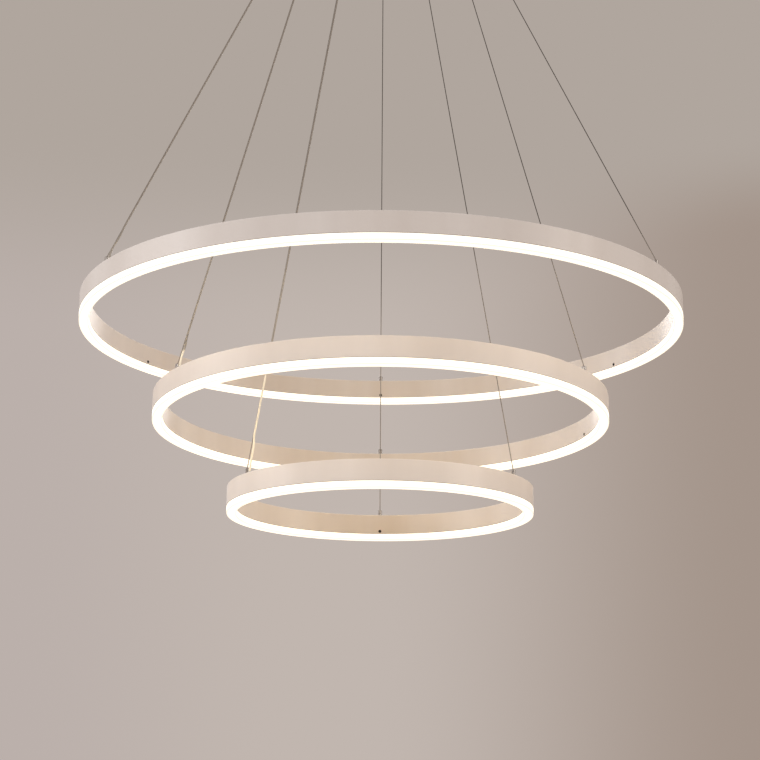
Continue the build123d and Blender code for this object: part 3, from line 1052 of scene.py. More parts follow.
def piece(
    name: str, surface: Surface, finish: Finish, body: str, replaces: Sequence[str] = ()
) -> bpy.types.Object:
    """Makes a Blender object of a surface, dresses it and ties it to the frame.

    Args:
        name: the piece's name.
        surface: its shape, in its place.
        finish: its finish.
        body: the CAD body that it moves with.
        replaces: the CAD nodes that it stands for.

    Returns:
        The new object.
    """
    mesh = bpy.data.meshes.new(name)
    faces = (surface.quads, surface.tris)
    sizes = np.concatenate([np.full(len(group), group.shape[1]) for group in faces])
    corners = np.concatenate([group.ravel() for group in faces])
    mesh.vertices.add(len(surface.points))
    mesh.vertices.foreach_set("co", surface.points.ravel())
    mesh.loops.add(len(corners))
    mesh.loops.foreach_set("vertex_index", corners)
    mesh.polygons.add(len(sizes))
    mesh.polygons.foreach_set("loop_start", np.append(0, np.cumsum(sizes[:-1])))
    mesh.polygons.foreach_set("use_smooth", np.ones(len(sizes), bool))
    mesh.uv_layers.new(name="UVMap").data.foreach_set("uv", surface.uv.ravel())
    for mark, values in surface.marks.items():
        layer = mesh.attributes.new(mark, "FLOAT", "POINT")
        layer.data.foreach_set("value", values.astype(np.float32))
    mesh.update(calc_edges=True)
    mesh.validate()
    mesh.materials.append(finish.material())
    made = bpy.data.objects.new(name, mesh)
    bpy.context.scene.collection.objects.link(made)
    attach(made, body)
    if replaces:
        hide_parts(*replaces)
    LOG.info("%s: %d faces, on %s", name, len(sizes), body)
    return made


def dress(node: str, finish: Finish) -> None:
    """Gives a CAD node that is shown as it is one finish in place of its own.

    Args:
        node: the node's name.
        finish: its finish.
    """
    shown = frame["nodes"][node]
    shown.data.materials.clear()
    shown.data.materials.append(finish.material())
    LOG.info("%s: kept, %s", node, type(finish).__name__)


class Side(Enum):
    """The three wires of a ring. The value is the wire's angle about +Z from +X."""

    BACK = 90
    LEFT = 210
    RIGHT = 330

    @property
    def label(self) -> str:
        """The side's name as the nodes have it."""
        return self.name.lower()


def on_circle(radius: float, angle: float, height: float = 0.0) -> Array:
    """A point on a level circle round the Z axis."""
    turn = math.radians(angle)
    return np.array((radius * math.cos(turn), radius * math.sin(turn), height))


def beside(angle: float, distance: float) -> Array:
    """A level step at right angles to a radius, anticlockwise seen from above."""
    turn = math.radians(angle)
    return distance * np.array((-math.sin(turn), math.cos(turn), 0.0))


# The radius of a power lead, and of the hole that it runs through in its bush and its gland.
LEAD_RADIUS = 1.2 * MM
LEAD_BORE = LEAD_RADIUS + 0.05 * MM


@dataclass(frozen=True)
class Section:
    """The section that all three rings share: a channel, open below, with an opal cap in it.

    Attributes:
        width: how wide the channel is.
        channel: how high it is.
        wall: the thickness of its sides.
        web: the thickness of its top.
        drop: how far the cap hangs below it.
        cap_wall: the thickness of the cap's legs.
        cap_floor: the thickness of its floor.
        leg: how far its legs reach up into the channel.
        inset: how far it stands in from the channel's sides.
        seam: the height of the gap between the two.
        fit: the clearance between a leg and the channel.
    """

    width: float = 13 * MM
    channel: float = 26.5 * MM
    wall: float = 1.2 * MM
    web: float = 1.5 * MM
    drop: float = 8.5 * MM
    cap_wall: float = 1.5 * MM
    cap_floor: float = 1.8 * MM
    leg: float = 9 * MM
    inset: float = 0.1 * MM
    seam: float = 0.2 * MM
    fit: float = 0.1 * MM

    def channel_profile(self, middle: float) -> Profile:
        """The channel's outline, from its top face at height zero.

        Args:
            middle: the radius of the circle that it runs along.

        Returns:
            The rounded outline.
        """
        half, inside = self.width / 2, self.width / 2 - self.wall
        low = -self.channel
        corners = [(middle + across, height) for across, height in (
            (half, low), (half, 0.0), (-half, 0.0), (-half, low),
            (-inside, low), (-inside, -self.web), (inside, -self.web), (inside, low),
        )]
        outer, lip, inner = 0.45 * MM, 0.25 * MM, 0.2 * MM
        return rounded(corners, (lip, outer, outer, lip, lip, inner, inner, lip), closed=True)

    def cap_profile(self, middle: float) -> Profile:
        """The cap's outline: legs inside the channel, and a floor below it.

        Args:
            middle: the radius of the circle that it runs along.

        Returns:
            The rounded outline.
        """
        half, leg = self.width / 2 - self.inset, self.width / 2 - self.wall - self.fit
        hollow = leg - self.cap_wall
        bottom, shoulder = -self.channel - self.drop, -self.channel - self.seam
        top, floor = -self.channel + self.leg, bottom + self.cap_floor
        corners = [(middle + across, height) for across, height in (
            (half, bottom), (half, shoulder), (leg, shoulder), (leg, top), (hollow, top),
            (hollow, floor), (-hollow, floor),
            (-hollow, top), (-leg, top), (-leg, shoulder), (-half, shoulder), (-half, bottom),
        )]
        foot, small = 0.9 * MM, 0.15 * MM
        return rounded(corners, (foot, *10 * (small,), foot), closed=True)


@dataclass(frozen=True)
class Fittings:
    """The small parts on a ring's top face and in its inner wall.

    Attributes:
        anchor_radius: the radius of an anchor.
        anchor_height: how high it stands.
        gland_radius: the radius of the lead's gland.
        gland_height: how high it stands.
        gland_offset: how far it stands beside the left anchor.
        screw_radius: the radius of a diffuser screw's dark head, drawn wider than the screw so that
            its rim is a painted shadow of the hole round it.
        screw_length: how long the head is.
        screw_proud: how far it stands out of the wall.
        screw_height: how far it sits above the cap's floor.
        screw_socket: half the width of its socket across the flats.
        screw_depth: how deep the socket is.
    """

    anchor_radius: float = 3 * MM
    anchor_height: float = 8 * MM
    gland_radius: float = 2.5 * MM
    gland_height: float = 3 * MM
    gland_offset: float = 7.5 * MM
    screw_radius: float = 2.1 * MM
    screw_length: float = 1.2 * MM
    screw_proud: float = 0.45 * MM
    screw_height: float = 12 * MM
    screw_socket: float = 0.75 * MM
    screw_depth: float = 0.05 * MM

    def anchor(self, web: float) -> Surface:
        """An anchor pin about Z: a stem in the web, a grooved barrel and a rounded top.

        Args:
            web: how far the stem reaches down.

        Returns:
            The pin's surface.
        """
        wide, high, foot = self.anchor_radius, self.anchor_height, 0.05 * MM
        neck, groove = 0.86 * wide, 0.93 * wide
        corners = (
            (0.6 * wide, -web), (neck, -web), (neck, foot), (wide, foot), (wide, 0.36 * high),
            (groove, 0.4 * high), (groove, 0.46 * high), (wide, 0.5 * high), (wide, high),
            (0.35 * wide, high), (0.3 * wide, 0.94 * high),
        )
        radii = np.array((0, 0.1, 0.05, 0.15, 0.1, 0.05, 0.05, 0.1, 0.7, 0.15, 0)) * MM
        return turned(rounded(corners, radii, closed=False), PIN_STEPS, Ends.FANS)

    def gland(self, web: float) -> Surface:
        """A gland about Z: a collar that narrows to the lead, with its bore left open.

        Args:
            web: how far it reaches down.

        Returns:
            The gland's surface.
        """
        wide, high = self.gland_radius, self.gland_height
        corners = (
            (LEAD_BORE, -web), (wide, -web), (wide, 0.45 * high), (0.72 * wide, high), (LEAD_BORE, high),
        )
        radii = np.array((0.1, 0.1, 0.3, 0.2, 0.1)) * MM
        return turned(rounded(corners, radii, closed=True), SMALL_STEPS, Ends.RING)


@dataclass(frozen=True)
class Ring:
    """One lit ring, with the fittings on it.

    Attributes:
        name: large, middle or small.
        radius: the outer radius.
        drop: how far its top face hangs below the ceiling.
        gripper_circle: the radius of the circle of its grippers.
        screws: how many diffuser screws it has.
        first_screw: the angle of the first of them.
        tilt: how far out of level it hangs, about X.
        section: the sizes of its section.
        fittings: the sizes of its small parts.
    """

    name: str
    radius: float
    drop: float
    gripper_circle: float
    screws: int
    first_screw: float
    tilt: float = 0.0
    section: Section = Section()
    fittings: Fittings = Fittings()

    @property
    def body(self) -> str:
        """The CAD body that the ring's pieces move with."""
        return f"ring_{self.name}"

    @property
    def middle(self) -> float:
        """The radius of the middle of the section, where the anchors stand."""
        return self.radius - self.section.width / 2

    @property
    def place(self) -> Matrix:
        """From the ring's own plane, with its top face at height zero, to where it hangs."""
        return Matrix.Translation((0, 0, -self.drop)) @ turn_about("X", self.tilt)

    @property
    def gland_point(self) -> Array:
        """The middle of the lead's gland, in the ring's own plane."""
        left = Side.LEFT.value
        return on_circle(self.middle, left) + beside(left, self.fittings.gland_offset)

    def placed(self, point: Array) -> Array:
        """A point of the ring's own plane, where the ring hangs."""
        return np.array(self.place @ Vector(point))

    def build(self) -> None:
        """Builds every piece of the ring."""
        name = self.name
        piece(f"ring_channel_{name}", self._channel(), COAT, self.body, [f"channel_{name}"])
        piece(f"opal_cap_{name}", self._cap(), OPAL, self.body, [f"diffuser_{name}"])
        dress(f"led_boards_{name}", BOARD)
        piece(f"anchors_{name}", self._anchors(), CHROME, self.body, [f"cable_anchors_{name}"])
        piece(f"cap_screws_{name}", self._screws(), BLACKENED, self.body, [f"diffuser_screws_{name}"])
        gland = self.fittings.gland(self.section.web).moved(self.place @ Matrix.Translation(self.gland_point))
        piece(f"gland_{name}", gland, CLEAR, self.body, [f"lead_gland_{name}"])

    def _channel(self) -> Surface:
        """Turns the channel.

        Its mark "inside" is (y / radius) squared on the inner wall, so it fades towards the sides
        of the ring; it paints shade and warm cap light on the inner wall, most at its back and front.
        Its mark "lip" is one along the lower edges, where it paints the shadow of the gap by the cap.

        Returns:
            The channel, where it hangs.
        """
        skin, lip = 0.1 * MM, 0.3 * MM
        channel = turned(self.section.channel_profile(self.middle), RING_STEPS, Ends.RING)
        reach = np.linalg.norm(channel.points[:, :2], axis=1)
        inner = reach < self.middle - self.section.width / 2 + skin
        # Painted shade and cap light: strongest at the back and front of the inner wall.
        channel.marks["inside"] = inner * (channel.points[:, 1] / reach) ** 2
        # Painted shadow of the gap along the lower edges.
        channel.marks["lip"] = (channel.points[:, 2] < lip - self.section.channel).astype(float)
        return channel.moved(self.place)

    def _cap(self) -> Surface:
        """Turns the cap.

        Its mark "glow" is zero at the seam, where the cap is painted dark for the shade of the gap,
        and one just below it, and less again at the rounded corners of its foot.

        Returns:
            The cap, where it hangs.
        """
        fade, foot, dim = 0.2 * MM, 0.7 * self.section.drop, 0.3
        cap = turned(self.section.cap_profile(self.middle), RING_STEPS, Ends.RING)
        below = -self.section.channel - cap.points[:, 2]
        lit = np.clip((below - self.section.seam) / fade, 0, 1)
        cap.marks["glow"] = lit - dim * cap.marks["edge"] * (below > foot)
        return cap.moved(self.place)

    def _anchors(self) -> Surface:
        """The three anchors on the top face."""
        places = [self.place @ Matrix.Translation(on_circle(self.middle, side.value)) for side in Side]
        return copies(self.fittings.anchor(self.section.web), places)

    def _screws(self) -> Surface:
        """Sets the diffuser screws into the inner wall, with their sockets facing inwards.

        Returns:
            The screws, where they sit.
        """
        sizes = self.fittings
        # The heads are widened so that their dark rims paint the shadow of the holes.
        screw = SocketHead(sizes.screw_radius, sizes.screw_length, sizes.screw_socket, sizes.screw_depth)
        height = sizes.screw_height - self.section.channel - self.section.drop
        face = Matrix.Translation((self.radius - self.section.width - sizes.screw_proud, 0, height))
        angles = [self.first_screw + 360 / self.screws * turn for turn in range(self.screws)]
        places = [self.place @ turn_about("Z", angle) @ face @ turn_about("Y", -90) for angle in angles]
        return copies(screw.surface(), places)


@dataclass(frozen=True)
class Canopy:
    """The ceiling canopy, with the wire grippers and bushes under it.

    Attributes:
        radius: the cover's outer radius.
        height: how far it stands down from the ceiling.
        sheet: the thickness of its steel.
        corner: the inner radius of its lower corner.
        outer_corner: the outer radius of that corner.
        hub: the radius of the small discs that close the sheet's faces at the middle.
        bush_offset: how far a lead's bush stands beside the left gripper.
        bush_radius: the bush's radius.
        bush_shows: how far it shows below the cover.
        bush_length: how long it is.
        barrel_radius: the radius of a gripper's barrel.
        barrel_length: how far the barrel reaches down from the cover.
        stud_top: how far its stud reaches above the cover's underside.
        plunger_radius: the radius of its plunger.
        plunger_length: how long the plunger is.
        plunger_shows: how far it shows below the barrel.
        collar_radius: the radius of the plunger's collar.
        collar_height: how high that collar is.
        lip: how far it sits above the barrel's mouth.
        wire_bore: the radius of the plunger's bore.
        screw_height: the height of the screws in the cover's sides.
        screw_radius: the radius of their heads.
        screw_head: how long their heads are.
        screw_shank: how long their shanks are.
        screw_socket: half the width of their sockets across the flats.
        screw_depth: how deep the sockets are.
    """

    radius: float = 125 * MM
    height: float = 40 * MM
    sheet: float = 1.2 * MM
    corner: float = 2.5 * MM
    outer_corner: float = 3.3 * MM
    hub: float = 0.5 * MM
    bush_offset: float = 14 * MM
    bush_radius: float = 3 * MM
    bush_shows: float = 6 * MM
    bush_length: float = 12 * MM
    barrel_radius: float = 5 * MM
    barrel_length: float = 14 * MM
    stud_top: float = 12 * MM
    plunger_radius: float = 2.5 * MM
    plunger_length: float = 11 * MM
    plunger_shows: float = 4 * MM
    collar_radius: float = 3.4 * MM
    collar_height: float = 1.5 * MM
    lip: float = 2.1 * MM
    wire_bore: float = 0.75 * MM
    screw_height: float = -9 * MM
    screw_radius: float = 4 * MM
    screw_head: float = 2.5 * MM
    screw_shank: float = 8 * MM
    screw_socket: float = 1.25 * MM
    screw_depth: float = 1.4 * MM

    body = "canopy"

    @property
    def floor(self) -> float:
        """The height of the cover's underside."""
        return -self.height

    @property
    def mouth(self) -> float:
        """The height at which a wire leaves its plunger."""
        return self.floor - self.barrel_length - self.plunger_shows

    @property
    def bush_mouth(self) -> float:
        """The height at which a power lead leaves its bush."""
        return self.floor - self.bush_shows

    def bush_place(self, ring: Ring, height: float) -> Array:
        """A point on the axis of a ring's lead bush."""
        left = Side.LEFT.value
        return on_circle(ring.gripper_circle, left, height) + beside(left, self.bush_offset)

    def build(self, rings: Sequence[Ring]) -> None:
        """Builds the cover, what is under it, and dresses what is inside it.

        Args:
            rings: the rings that hang from it.
        """
        piece("cover", self._cover(), CANOPY_COAT, self.body, ["canopy_cover"])
        piece("side_screws", self._side_screws(), CHROME, self.body, ["canopy_side_screws"])
        for ring in rings:
            name = ring.name
            piece(f"barrels_{name}", self._barrels(ring), CHROME, self.body, [f"gripper_barrels_{name}"])
            for side in Side:
                self._plunger(ring, side)
            dress(f"gripper_studs_{name}", ZINC)
            dress(f"driver_{name}", DRIVER_CASE)
        places = [Matrix.Translation(self.bush_place(ring, self.bush_mouth)) for ring in rings]
        piece("bushes", copies(self._bush(), places), CLEAR, self.body, ["lead_bushes"])
        for node in ("ceiling_crossbar", "gripper_nuts"):
            dress(node, ZINC)
        dress("terminal_block", TERMINAL)
        dress("earth_stud", BRASS)

    def _cover(self) -> Surface:
        """Presses the cover: a dish with a rounded corner and an open top.

        Returns:
            The cover.
        """
        wide, low, thin, hub = self.radius, self.floor, self.sheet, self.hub
        corners = ((hub, low), (wide, low), (wide, 0.0), (wide - thin, 0.0), (wide - thin, low + thin),
                   (hub, low + thin))
        radii = (0, self.outer_corner, 0.3 * MM, 0.3 * MM, self.corner, 0)
        return turned(rounded(corners, radii, closed=False, steps=8), COVER_STEPS, Ends.FANS)

    def _side_screws(self) -> Surface:
        """Sets a socket screw into each side of the cover.

        Returns:
            Both screws.
        """
        head = SocketHead(self.screw_radius, self.screw_head, self.screw_socket, self.screw_depth).surface()
        rows = np.array((-self.screw_shank - self.screw_head, -self.screw_head))[:, None]
        loops = loops_round(self.screw_radius / 2, full_turn(SCREW_STEPS), rows)
        shank = grid_surface(loops, Ends.FANS, marks={"edge": np.zeros(loops.shape[:2])})
        face = Matrix.Translation((self.radius + self.screw_head, 0, self.screw_height))
        places = [turn_about("Z", angle) @ face @ turn_about("Y", 90) for angle in (0, 180)]
        return copies(joined((head, shank)), places)

    def _barrels(self, ring: Ring) -> Surface:
        """Turns a ring's gripper barrels, each with a band of fine flutes round its middle.

        Args:
            ring: the ring that hangs from them.

        Returns:
            The three barrels.
        """
        wide, long = self.barrel_radius, self.barrel_length
        bore, nick = self.plunger_radius + 0.05 * MM, self.barrel_radius - 0.25 * MM
        corners = (
            (bore, 0.0), (wide - 0.6 * MM, 0.0), (wide, 1.2 * MM), (wide, 0.3 * long),
            (nick, 0.33 * long), (wide, 0.36 * long), (wide, 0.8 * long),
            (nick, 0.83 * long), (wide, 0.86 * long), (wide, long), (bore, long),
        )
        profile = rounded(corners, 0.12 * MM, closed=True, steps=2)
        radius, height = profile.points.T
        band = (radius > wide - 0.1 * MM) & (height > 0.35 * long) & (height < 0.81 * long)
        barrel = turned(profile, BARREL_STEPS, Ends.RING, fluting=0.22 * MM * band, flutes=36)
        points = [on_circle(ring.gripper_circle, side.value, self.floor - long) for side in Side]
        return copies(barrel, [Matrix.Translation(point) for point in points])

    def _plunger(self, ring: Ring, side: Side) -> None:
        """Turns one release plunger, with its collar inside the barrel and a flared mouth.

        Args:
            ring: the ring whose wire it frees.
            side: which of the ring's wires.
        """
        wide, bore, collar = self.plunger_radius, self.wire_bore, self.plunger_shows + self.lip
        corners = (
            (bore + 0.5 * MM, 0.0), (wide, 0.0), (wide, collar), (self.collar_radius, collar),
            (self.collar_radius, collar + self.collar_height), (wide, collar + self.collar_height),
            (wide, self.plunger_length), (bore, self.plunger_length), (bore, 1.2 * MM),
        )
        radii = np.array((0.1, 0.5, 0.05, 0.1, 0.1, 0.05, 0.2, 0.05, 0.2)) * MM
        plunger = turned(rounded(corners, radii, closed=True), SMALL_STEPS, Ends.RING)
        at = Matrix.Translation(on_circle(ring.gripper_circle, side.value, self.mouth))
        name = f"{ring.name}_{side.label}"
        piece(f"release_{name}", plunger.moved(at), CHROME, f"release_{name}", [f"plunger_{name}"])

    def _bush(self) -> Surface:
        """A lead bush about Z, from its tapered mouth at zero up through the cover.

        Returns:
            The bush.
        """
        wide, shows, long = self.bush_radius, self.bush_shows, self.bush_length
        corners = (
            (LEAD_BORE, 0.0), (0.62 * wide, 0.0), (0.8 * wide, 0.55 * shows), (wide, 0.6 * shows),
            (wide, long), (LEAD_BORE, long),
        )
        return turned(rounded(corners, 0.15 * MM, closed=True), SMALL_STEPS, Ends.RING)


@dataclass(frozen=True)
class Suspension:
    """The steel wires and power leads of one ring.

    Attributes:
        ring: the ring that they carry and feed.
        canopy: the canopy that they come from.
        travel: how far up the ring can be drawn; not used.
        sleeve: how far up from the ring the lead is painted pale, a painted glow of the caps' light.
        sleeve_fade: the height over which it ends.
        wire_radius: the radius of a wire.
        wire_tail: how far it stands out above its stud.
        wire_seat: how far above its anchor a wire ends in the CAD model, where the lead follows it.
        bend_drop: how far below the gripper the slant starts.
        strands: how many strands a wire has.
        lay: how far a strand runs in one turn.
        groove: the depth of the grooves between the strands, as a share of the radius.
        pale_from: how far below the ceiling the painted light of the caps makes wires and leads paler.
        pale_over: the height over which they do.
        lead_pale: how much of that painted pale glow a lead takes on down there.
        lead_upper: for each upper point of a lead, its depth below the bush and its distance
            beside the wire.
        lead_lower: for each lower point, its height above the ring and the same distance.
        lead_exit: how far a lead runs straight out of its bush and its gland.
    """

    ring: Ring
    canopy: Canopy
    travel: float
    sleeve: float
    sleeve_fade: float = 4 * MM
    wire_radius: float = 0.6 * MM
    wire_tail: float = 3 * MM
    wire_seat: float = 0.6 * MM
    bend_drop: float = 0.5 * MM
    strands: int = 6
    lay: float = 8 * MM
    groove: float = 0.16
    pale_from: float = 570 * MM
    pale_over: float = 70 * MM
    lead_pale: float = 0.15
    lead_upper: tuple[tuple[float, float], ...] = ((52 * MM, 9 * MM), (105 * MM, 2.2 * MM))
    lead_lower: tuple[tuple[float, float], ...] = ((50 * MM, 2.2 * MM), (34 * MM, 8.5 * MM))
    lead_exit: float = 12 * MM

    def build(self) -> None:
        """Builds the ring's three wires and its lead."""
        for side in Side:
            self._wire(side)
        self._lead()

    def ends(self, side: Side) -> tuple[Array, Array]:
        """Finds the ends of a wire's slanting run.

        Args:
            side: which of the ring's wires.

        Returns:
            The point just under the gripper, and the middle of the anchor's top.
        """
        start = on_circle(self.ring.gripper_circle, side.value, self.canopy.mouth - self.bend_drop)
        top = self.ring.fittings.anchor_height
        return start, self.ring.placed(on_circle(self.ring.middle, side.value, top))

    def _hang(
        self, made: bpy.types.Object
    ) -> None:
        """Gives a tube a mesh of its own.

        Args:
            made: the tube.
        """
        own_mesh(made)

    def _low(self, tube: Surface) -> Array:
        """How far down each point is: zero well above the rings, and one from the large ring down."""
        return np.clip((-self.pale_from - tube.points[:, 2]) / self.pale_over, 0, 1)

    def _wire(self, side: Side) -> None:
        """Lays one wire rope: six strands round its line, a turn for each length of lay.

        The radius at angle t and distance s falls between the strands with
        1 - |cos(3 (t - 2 pi s / lay))|.

        Args:
            side: which of the ring's wires.
        """
        canopy = self.canopy
        start, anchor = self.ends(side)
        tail = np.array((*start[:2], canopy.floor + canopy.stud_top + self.wire_tail))
        down = (anchor - start) / np.linalg.norm(anchor - start)
        near = 6 * self.wire_radius
        route = (tail, start + (0, 0, near), start, start + near * down, anchor)
        path = spline(route, self.lay / 10)
        turns = run_along(path)[:, None] / self.lay
        angle = full_turn(3 * self.strands)
        lobes = 1 - np.abs(np.cos(self.strands / 2 * (angle - 2 * np.pi * turns)))
        rope = along(path, self.wire_radius * (1 - self.groove * lobes), beside(side.value, 1), lobes)
        # Painted light of the caps on the rope's lower part.
        rope.marks["low"] = self._low(rope)
        name = f"{self.ring.name}_{side.label}"
        made = piece(f"rope_{name}", rope, ROPE, canopy.body, [f"wire_{name}"])
        self._hang(made)

    def lead_route(self) -> list[Array]:
        """The points of the lead's route, from the top of its bush to the inside of its gland.

        Where the lead runs straight along the wire, a point on the run keeps it straight near
        each end.

        Returns:
            The route's points, from the top down.
        """
        ring, canopy, angle = self.ring, self.canopy, Side.LEFT.value
        start, anchor = self.ends(Side.LEFT)
        seat = anchor + np.array((0, 0, self.wire_seat))
        slope = (seat - start) / (seat[2] - start[2])
        at_mouth = canopy.bush_place(ring, canopy.bush_mouth)
        route = [at_mouth + (0, 0, canopy.bush_length), at_mouth - (0, 0, self.lead_exit)]
        route += [start + slope * (canopy.bush_mouth - depth - start[2]) + beside(angle, across)
                  for depth, across in self.lead_upper]
        lower = [start + slope * (height - ring.drop - start[2]) + beside(angle, across)
                 for height, across in self.lead_lower]
        run = lower[0] - route[-1]
        run /= np.linalg.norm(run)
        route.append(route[-1] + run * np.linalg.norm(route[-1] - route[-2]))
        route.append(lower[0] - run * np.linalg.norm(lower[1] - lower[0]))
        route += lower
        gland = ring.gland_point
        route += [ring.placed(gland + (0, 0, height)) for height in (self.lead_exit, -ring.section.web)]
        return route

    def _lead(self) -> None:
        """Lays the power lead, a round jacket along its route."""
        path = spline(self.lead_route(), 2 * MM)
        radii = np.full((len(path), LEAD_STEPS), LEAD_RADIUS)
        lead = along(path, radii, beside(Side.LEFT.value, 1), np.zeros_like(radii))
        above = lead.points[:, 2] + self.ring.drop
        # Painted glow of the caps' light, up from the ring and, more weakly, over the lead's low part.
        glowing = np.clip((self.sleeve - above) / self.sleeve_fade, 0, 1)
        lead.marks["sleeve"] = np.maximum(glowing, self.lead_pale * self._low(lead))
        name = self.ring.name
        made = piece(f"lead_{name}", lead, JACKET, self.canopy.body, [f"power_lead_{name}"])
        fixed = self.canopy.bush_place(self.ring, self.canopy.bush_mouth)
        self._hang(made)


# ------------------------------------------------------------------------------ studio


@dataclass(frozen=True)
class PhotoCamera:
    """The camera at the photograph's place: below the lamp and in front of it, looking up.

    Attributes:
        place: where it stands.
        pitch: how far it looks up.
        roll: how far it leans.
        yaw: how far it turns.
        focal: its focal length in millimetres.
        sensor: the width of its sensor in millimetres.
    """

    place: tuple[float, float, float] = (0.0, -2.4068, -1.3650)
    pitch: float = 14.28
    roll: float = -0.34
    yaw: float = 0.023
    focal: float = 88.48
    sensor: float = 36.0

    def build(self) -> None:
        """Makes the camera and hands it to the scene."""
        data = bpy.data.cameras.new("photo_camera")
        data.lens, data.sensor_width = self.focal, self.sensor
        data.clip_end = 100
        camera = bpy.data.objects.new("photo_camera", data)
        bpy.context.scene.collection.objects.link(camera)
        aim = turn_about("Z", self.yaw) @ turn_about("X", self.pitch + 90) @ turn_about("Z", -self.roll)
        camera.matrix_world = Matrix.Translation(self.place) @ aim
        bpy.context.scene.camera = camera


@dataclass(frozen=True)
class Softbox:
    """A soft rectangular lamp.

    Attributes:
        name: the lamp's name.
        place: where it hangs.
        size: its width and height.
        power: its power in watts.
        colour: the colour of its light.
        mirrored: whether gloss shows it.
        aim: the point that it faces.
    """

    name: str
    place: tuple[float, float, float]
    size: tuple[float, float]
    power: float
    colour: tuple[float, float, float] = (1.0, 1.0, 1.0)
    mirrored: bool = True
    aim: tuple[float, float, float] = (0.0, 0.0, -0.75)

    def build(self) -> None:
        """Makes the lamp."""
        data = bpy.data.lights.new(self.name, "AREA")
        data.shape = "RECTANGLE"
        data.size, data.size_y = self.size
        data.energy, data.color = self.power, self.colour
        lamp = bpy.data.objects.new(self.name, data)
        bpy.context.scene.collection.objects.link(lamp)
        facing = (Vector(self.aim) - Vector(self.place)).to_track_quat("-Z", "Y")
        lamp.matrix_world = Matrix.Translation(self.place) @ facing.to_matrix().to_4x4()
        lamp.visible_camera = False
        lamp.visible_glossy = self.mirrored


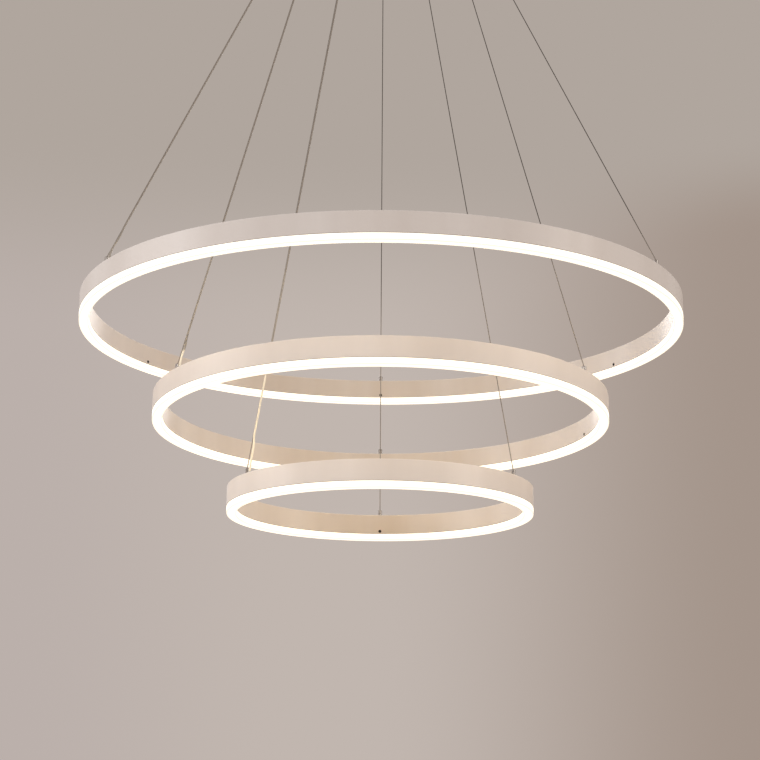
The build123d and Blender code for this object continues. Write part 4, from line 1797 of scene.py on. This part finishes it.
@dataclass(frozen=True)
class Studio:
    """A pale floor, a soft wall colour all round, and soft lamps.

    Attributes:
        floor_height: where the floor lies.
        floor_size: how wide it is.
        ambient: the colour of the light from all round.
        ambient_strength: its strength.
        lamps: the soft lamps.
    """

    floor_height: float = -4.5
    floor_size: float = 160.0
    ambient: Colour = (1.0, 0.975, 0.955, 1.0)
    ambient_strength: float = 0.62
    lamps: tuple[Softbox, ...] = (
        Softbox("key", (-3.4, -1.2, 0.3), (2.4, 2.4), 47.0, (0.91, 0.96, 1.0), mirrored=False,
                aim=(0.0, 0.0, -0.7)),
        Softbox("left_band", (-3.3, -0.6, -0.2), (2.0, 2.2), 13.0, (1.0, 0.97, 0.95)),
        Softbox("fill", (2.5, -2.2, -0.2), (1.6, 2.0), 8.0, (1.0, 0.96, 0.92), mirrored=False),
        Softbox("right_band", (3.3, -1.3, -0.3), (1.4, 2.2), 18.0, (1.0, 0.94, 0.86)),
        Softbox("back", (0.0, 3.2, 0.2), (2.0, 1.6), 20.0, (1.0, 0.98, 0.96)),
        Softbox("spark", (-0.3, -2.9, 0.0), (0.3, 0.3), 2.5),
    )

    def build(self) -> None:
        """Makes the floor, the surroundings and the lamps, and sets the view's colours."""
        bpy.context.scene.view_settings.view_transform = "Standard"
        self._floor()
        self._surroundings()
        for lamp in self.lamps:
            lamp.build()

    def _floor(self) -> None:
        """Lays a pale matt floor, far below the lamp."""
        half, low = self.floor_size / 2, self.floor_height
        mesh = bpy.data.meshes.new("floor")
        corners = [(x * half, y * half, low) for x, y in ((-1, -1), (1, -1), (1, 1), (-1, 1))]
        mesh.from_pydata(corners, [], [(0, 1, 2, 3)])
        material = bpy.data.materials.new("floor")
        material.use_nodes = True
        nodes = Nodes(material.node_tree)
        grain = Effects.place(nodes, Effect.GRAIN, Scale=3.0, Low=0.6, High=0.75)
        colour = nodes.blend(grain["Height"], linear(232, 224, 217), linear(238, 231, 225))
        shader = material.node_tree.nodes["Principled BSDF"]
        nodes.feed(shader, {"Base Color": colour, "Roughness": grain["Value"]})
        mesh.materials.append(material)
        floor = bpy.data.objects.new("floor", mesh)
        bpy.context.scene.collection.objects.link(floor)

    def _surroundings(self) -> None:
        """Paints the wall that the camera sees, apart from the light that falls on the lamp.

        The wall is lightest left of the middle and darker to the right, with painted shade there, and
        evens out above, where the darker side ends higher up. Its colour depends on the X, Y and Z of the
        direction that it is seen in, whose length is one.
        """
        world = bpy.data.worlds.new("surroundings")
        bpy.context.scene.world = world
        world.use_nodes = True
        world.node_tree.nodes.clear()
        nodes = Nodes(world.node_tree)
        axes = nodes.axes(nodes.add("ShaderNodeTexCoord").outputs["Generated"])
        left = nodes.ramp(axes["X"], -0.20, -0.04, ease=True)
        right = nodes.ramp(axes["X"], -0.006, 0.2, ease=True)
        ahead = nodes.ramp(axes["Y"], 0.2, 0.8, ease=True)
        upper = nodes.ramp(axes["Z"], nodes.ramp(right, 0.0, 1.0, 0.265, 0.315), 0.365, ease=True)
        wall = nodes.blend(left, linear(187, 176, 171), linear(193, 182, 175))
        wall = nodes.blend(nodes.math("MULTIPLY", right, ahead), wall, linear(164, 149, 139))
        wall = nodes.blend(nodes.math("MULTIPLY", upper, ahead), wall, linear(176, 166, 158))
        painted = {"Color": wall, "Strength": 1.0}
        lit = {"Color": self.ambient, "Strength": self.ambient_strength}
        seen, light = (nodes.add("ShaderNodeBackground", inputs).outputs[0] for inputs in (painted, lit))
        is_seen = nodes.ray_is("Is Camera Ray", "Is Glossy Ray", "Is Transmission Ray")
        both = nodes.add("ShaderNodeMixShader", {0: is_seen, 1: light, 2: seen})
        nodes.add("ShaderNodeOutputWorld", {"Surface": both.outputs[0]})


RINGS = (
    Ring("large", 400 * MM, drop=655 * MM, gripper_circle=110 * MM, screws=6, first_screw=30),
    Ring("middle", 300 * MM, drop=783 * MM, gripper_circle=90 * MM, screws=4, first_screw=15, tilt=-1.65),
    Ring("small", 200 * MM, drop=901 * MM, gripper_circle=45 * MM, screws=3, first_screw=90),
)

# How far the painted pale glow of the caps' light reaches up each ring's lead.
# On the large ring's, none of it shows.
PAINTED_GLOWS = {"large": 0.0, "middle": 31 * MM, "small": 135 * MM}


def travel_of(joint: str) -> float:
    """How far a sliding joint of the frame goes, from its own record."""
    found = next(entry for entry in frame["joints"] if entry["name"] == joint)
    return max(found["range_m"])


def main() -> None:
    """Builds the studio and the lamp, in order."""
    logging.basicConfig(level=logging.INFO, format="%(name)s %(message)s")
    PhotoCamera().build()
    Studio().build()
    canopy = Canopy()
    for ring in RINGS:
        Suspension(ring, canopy, travel_of(f"raise_{ring.name}"), PAINTED_GLOWS[ring.name]).build()
    for ring in RINGS:
        ring.build()
    canopy.build(RINGS)


if __name__ == "__main__":
    main()
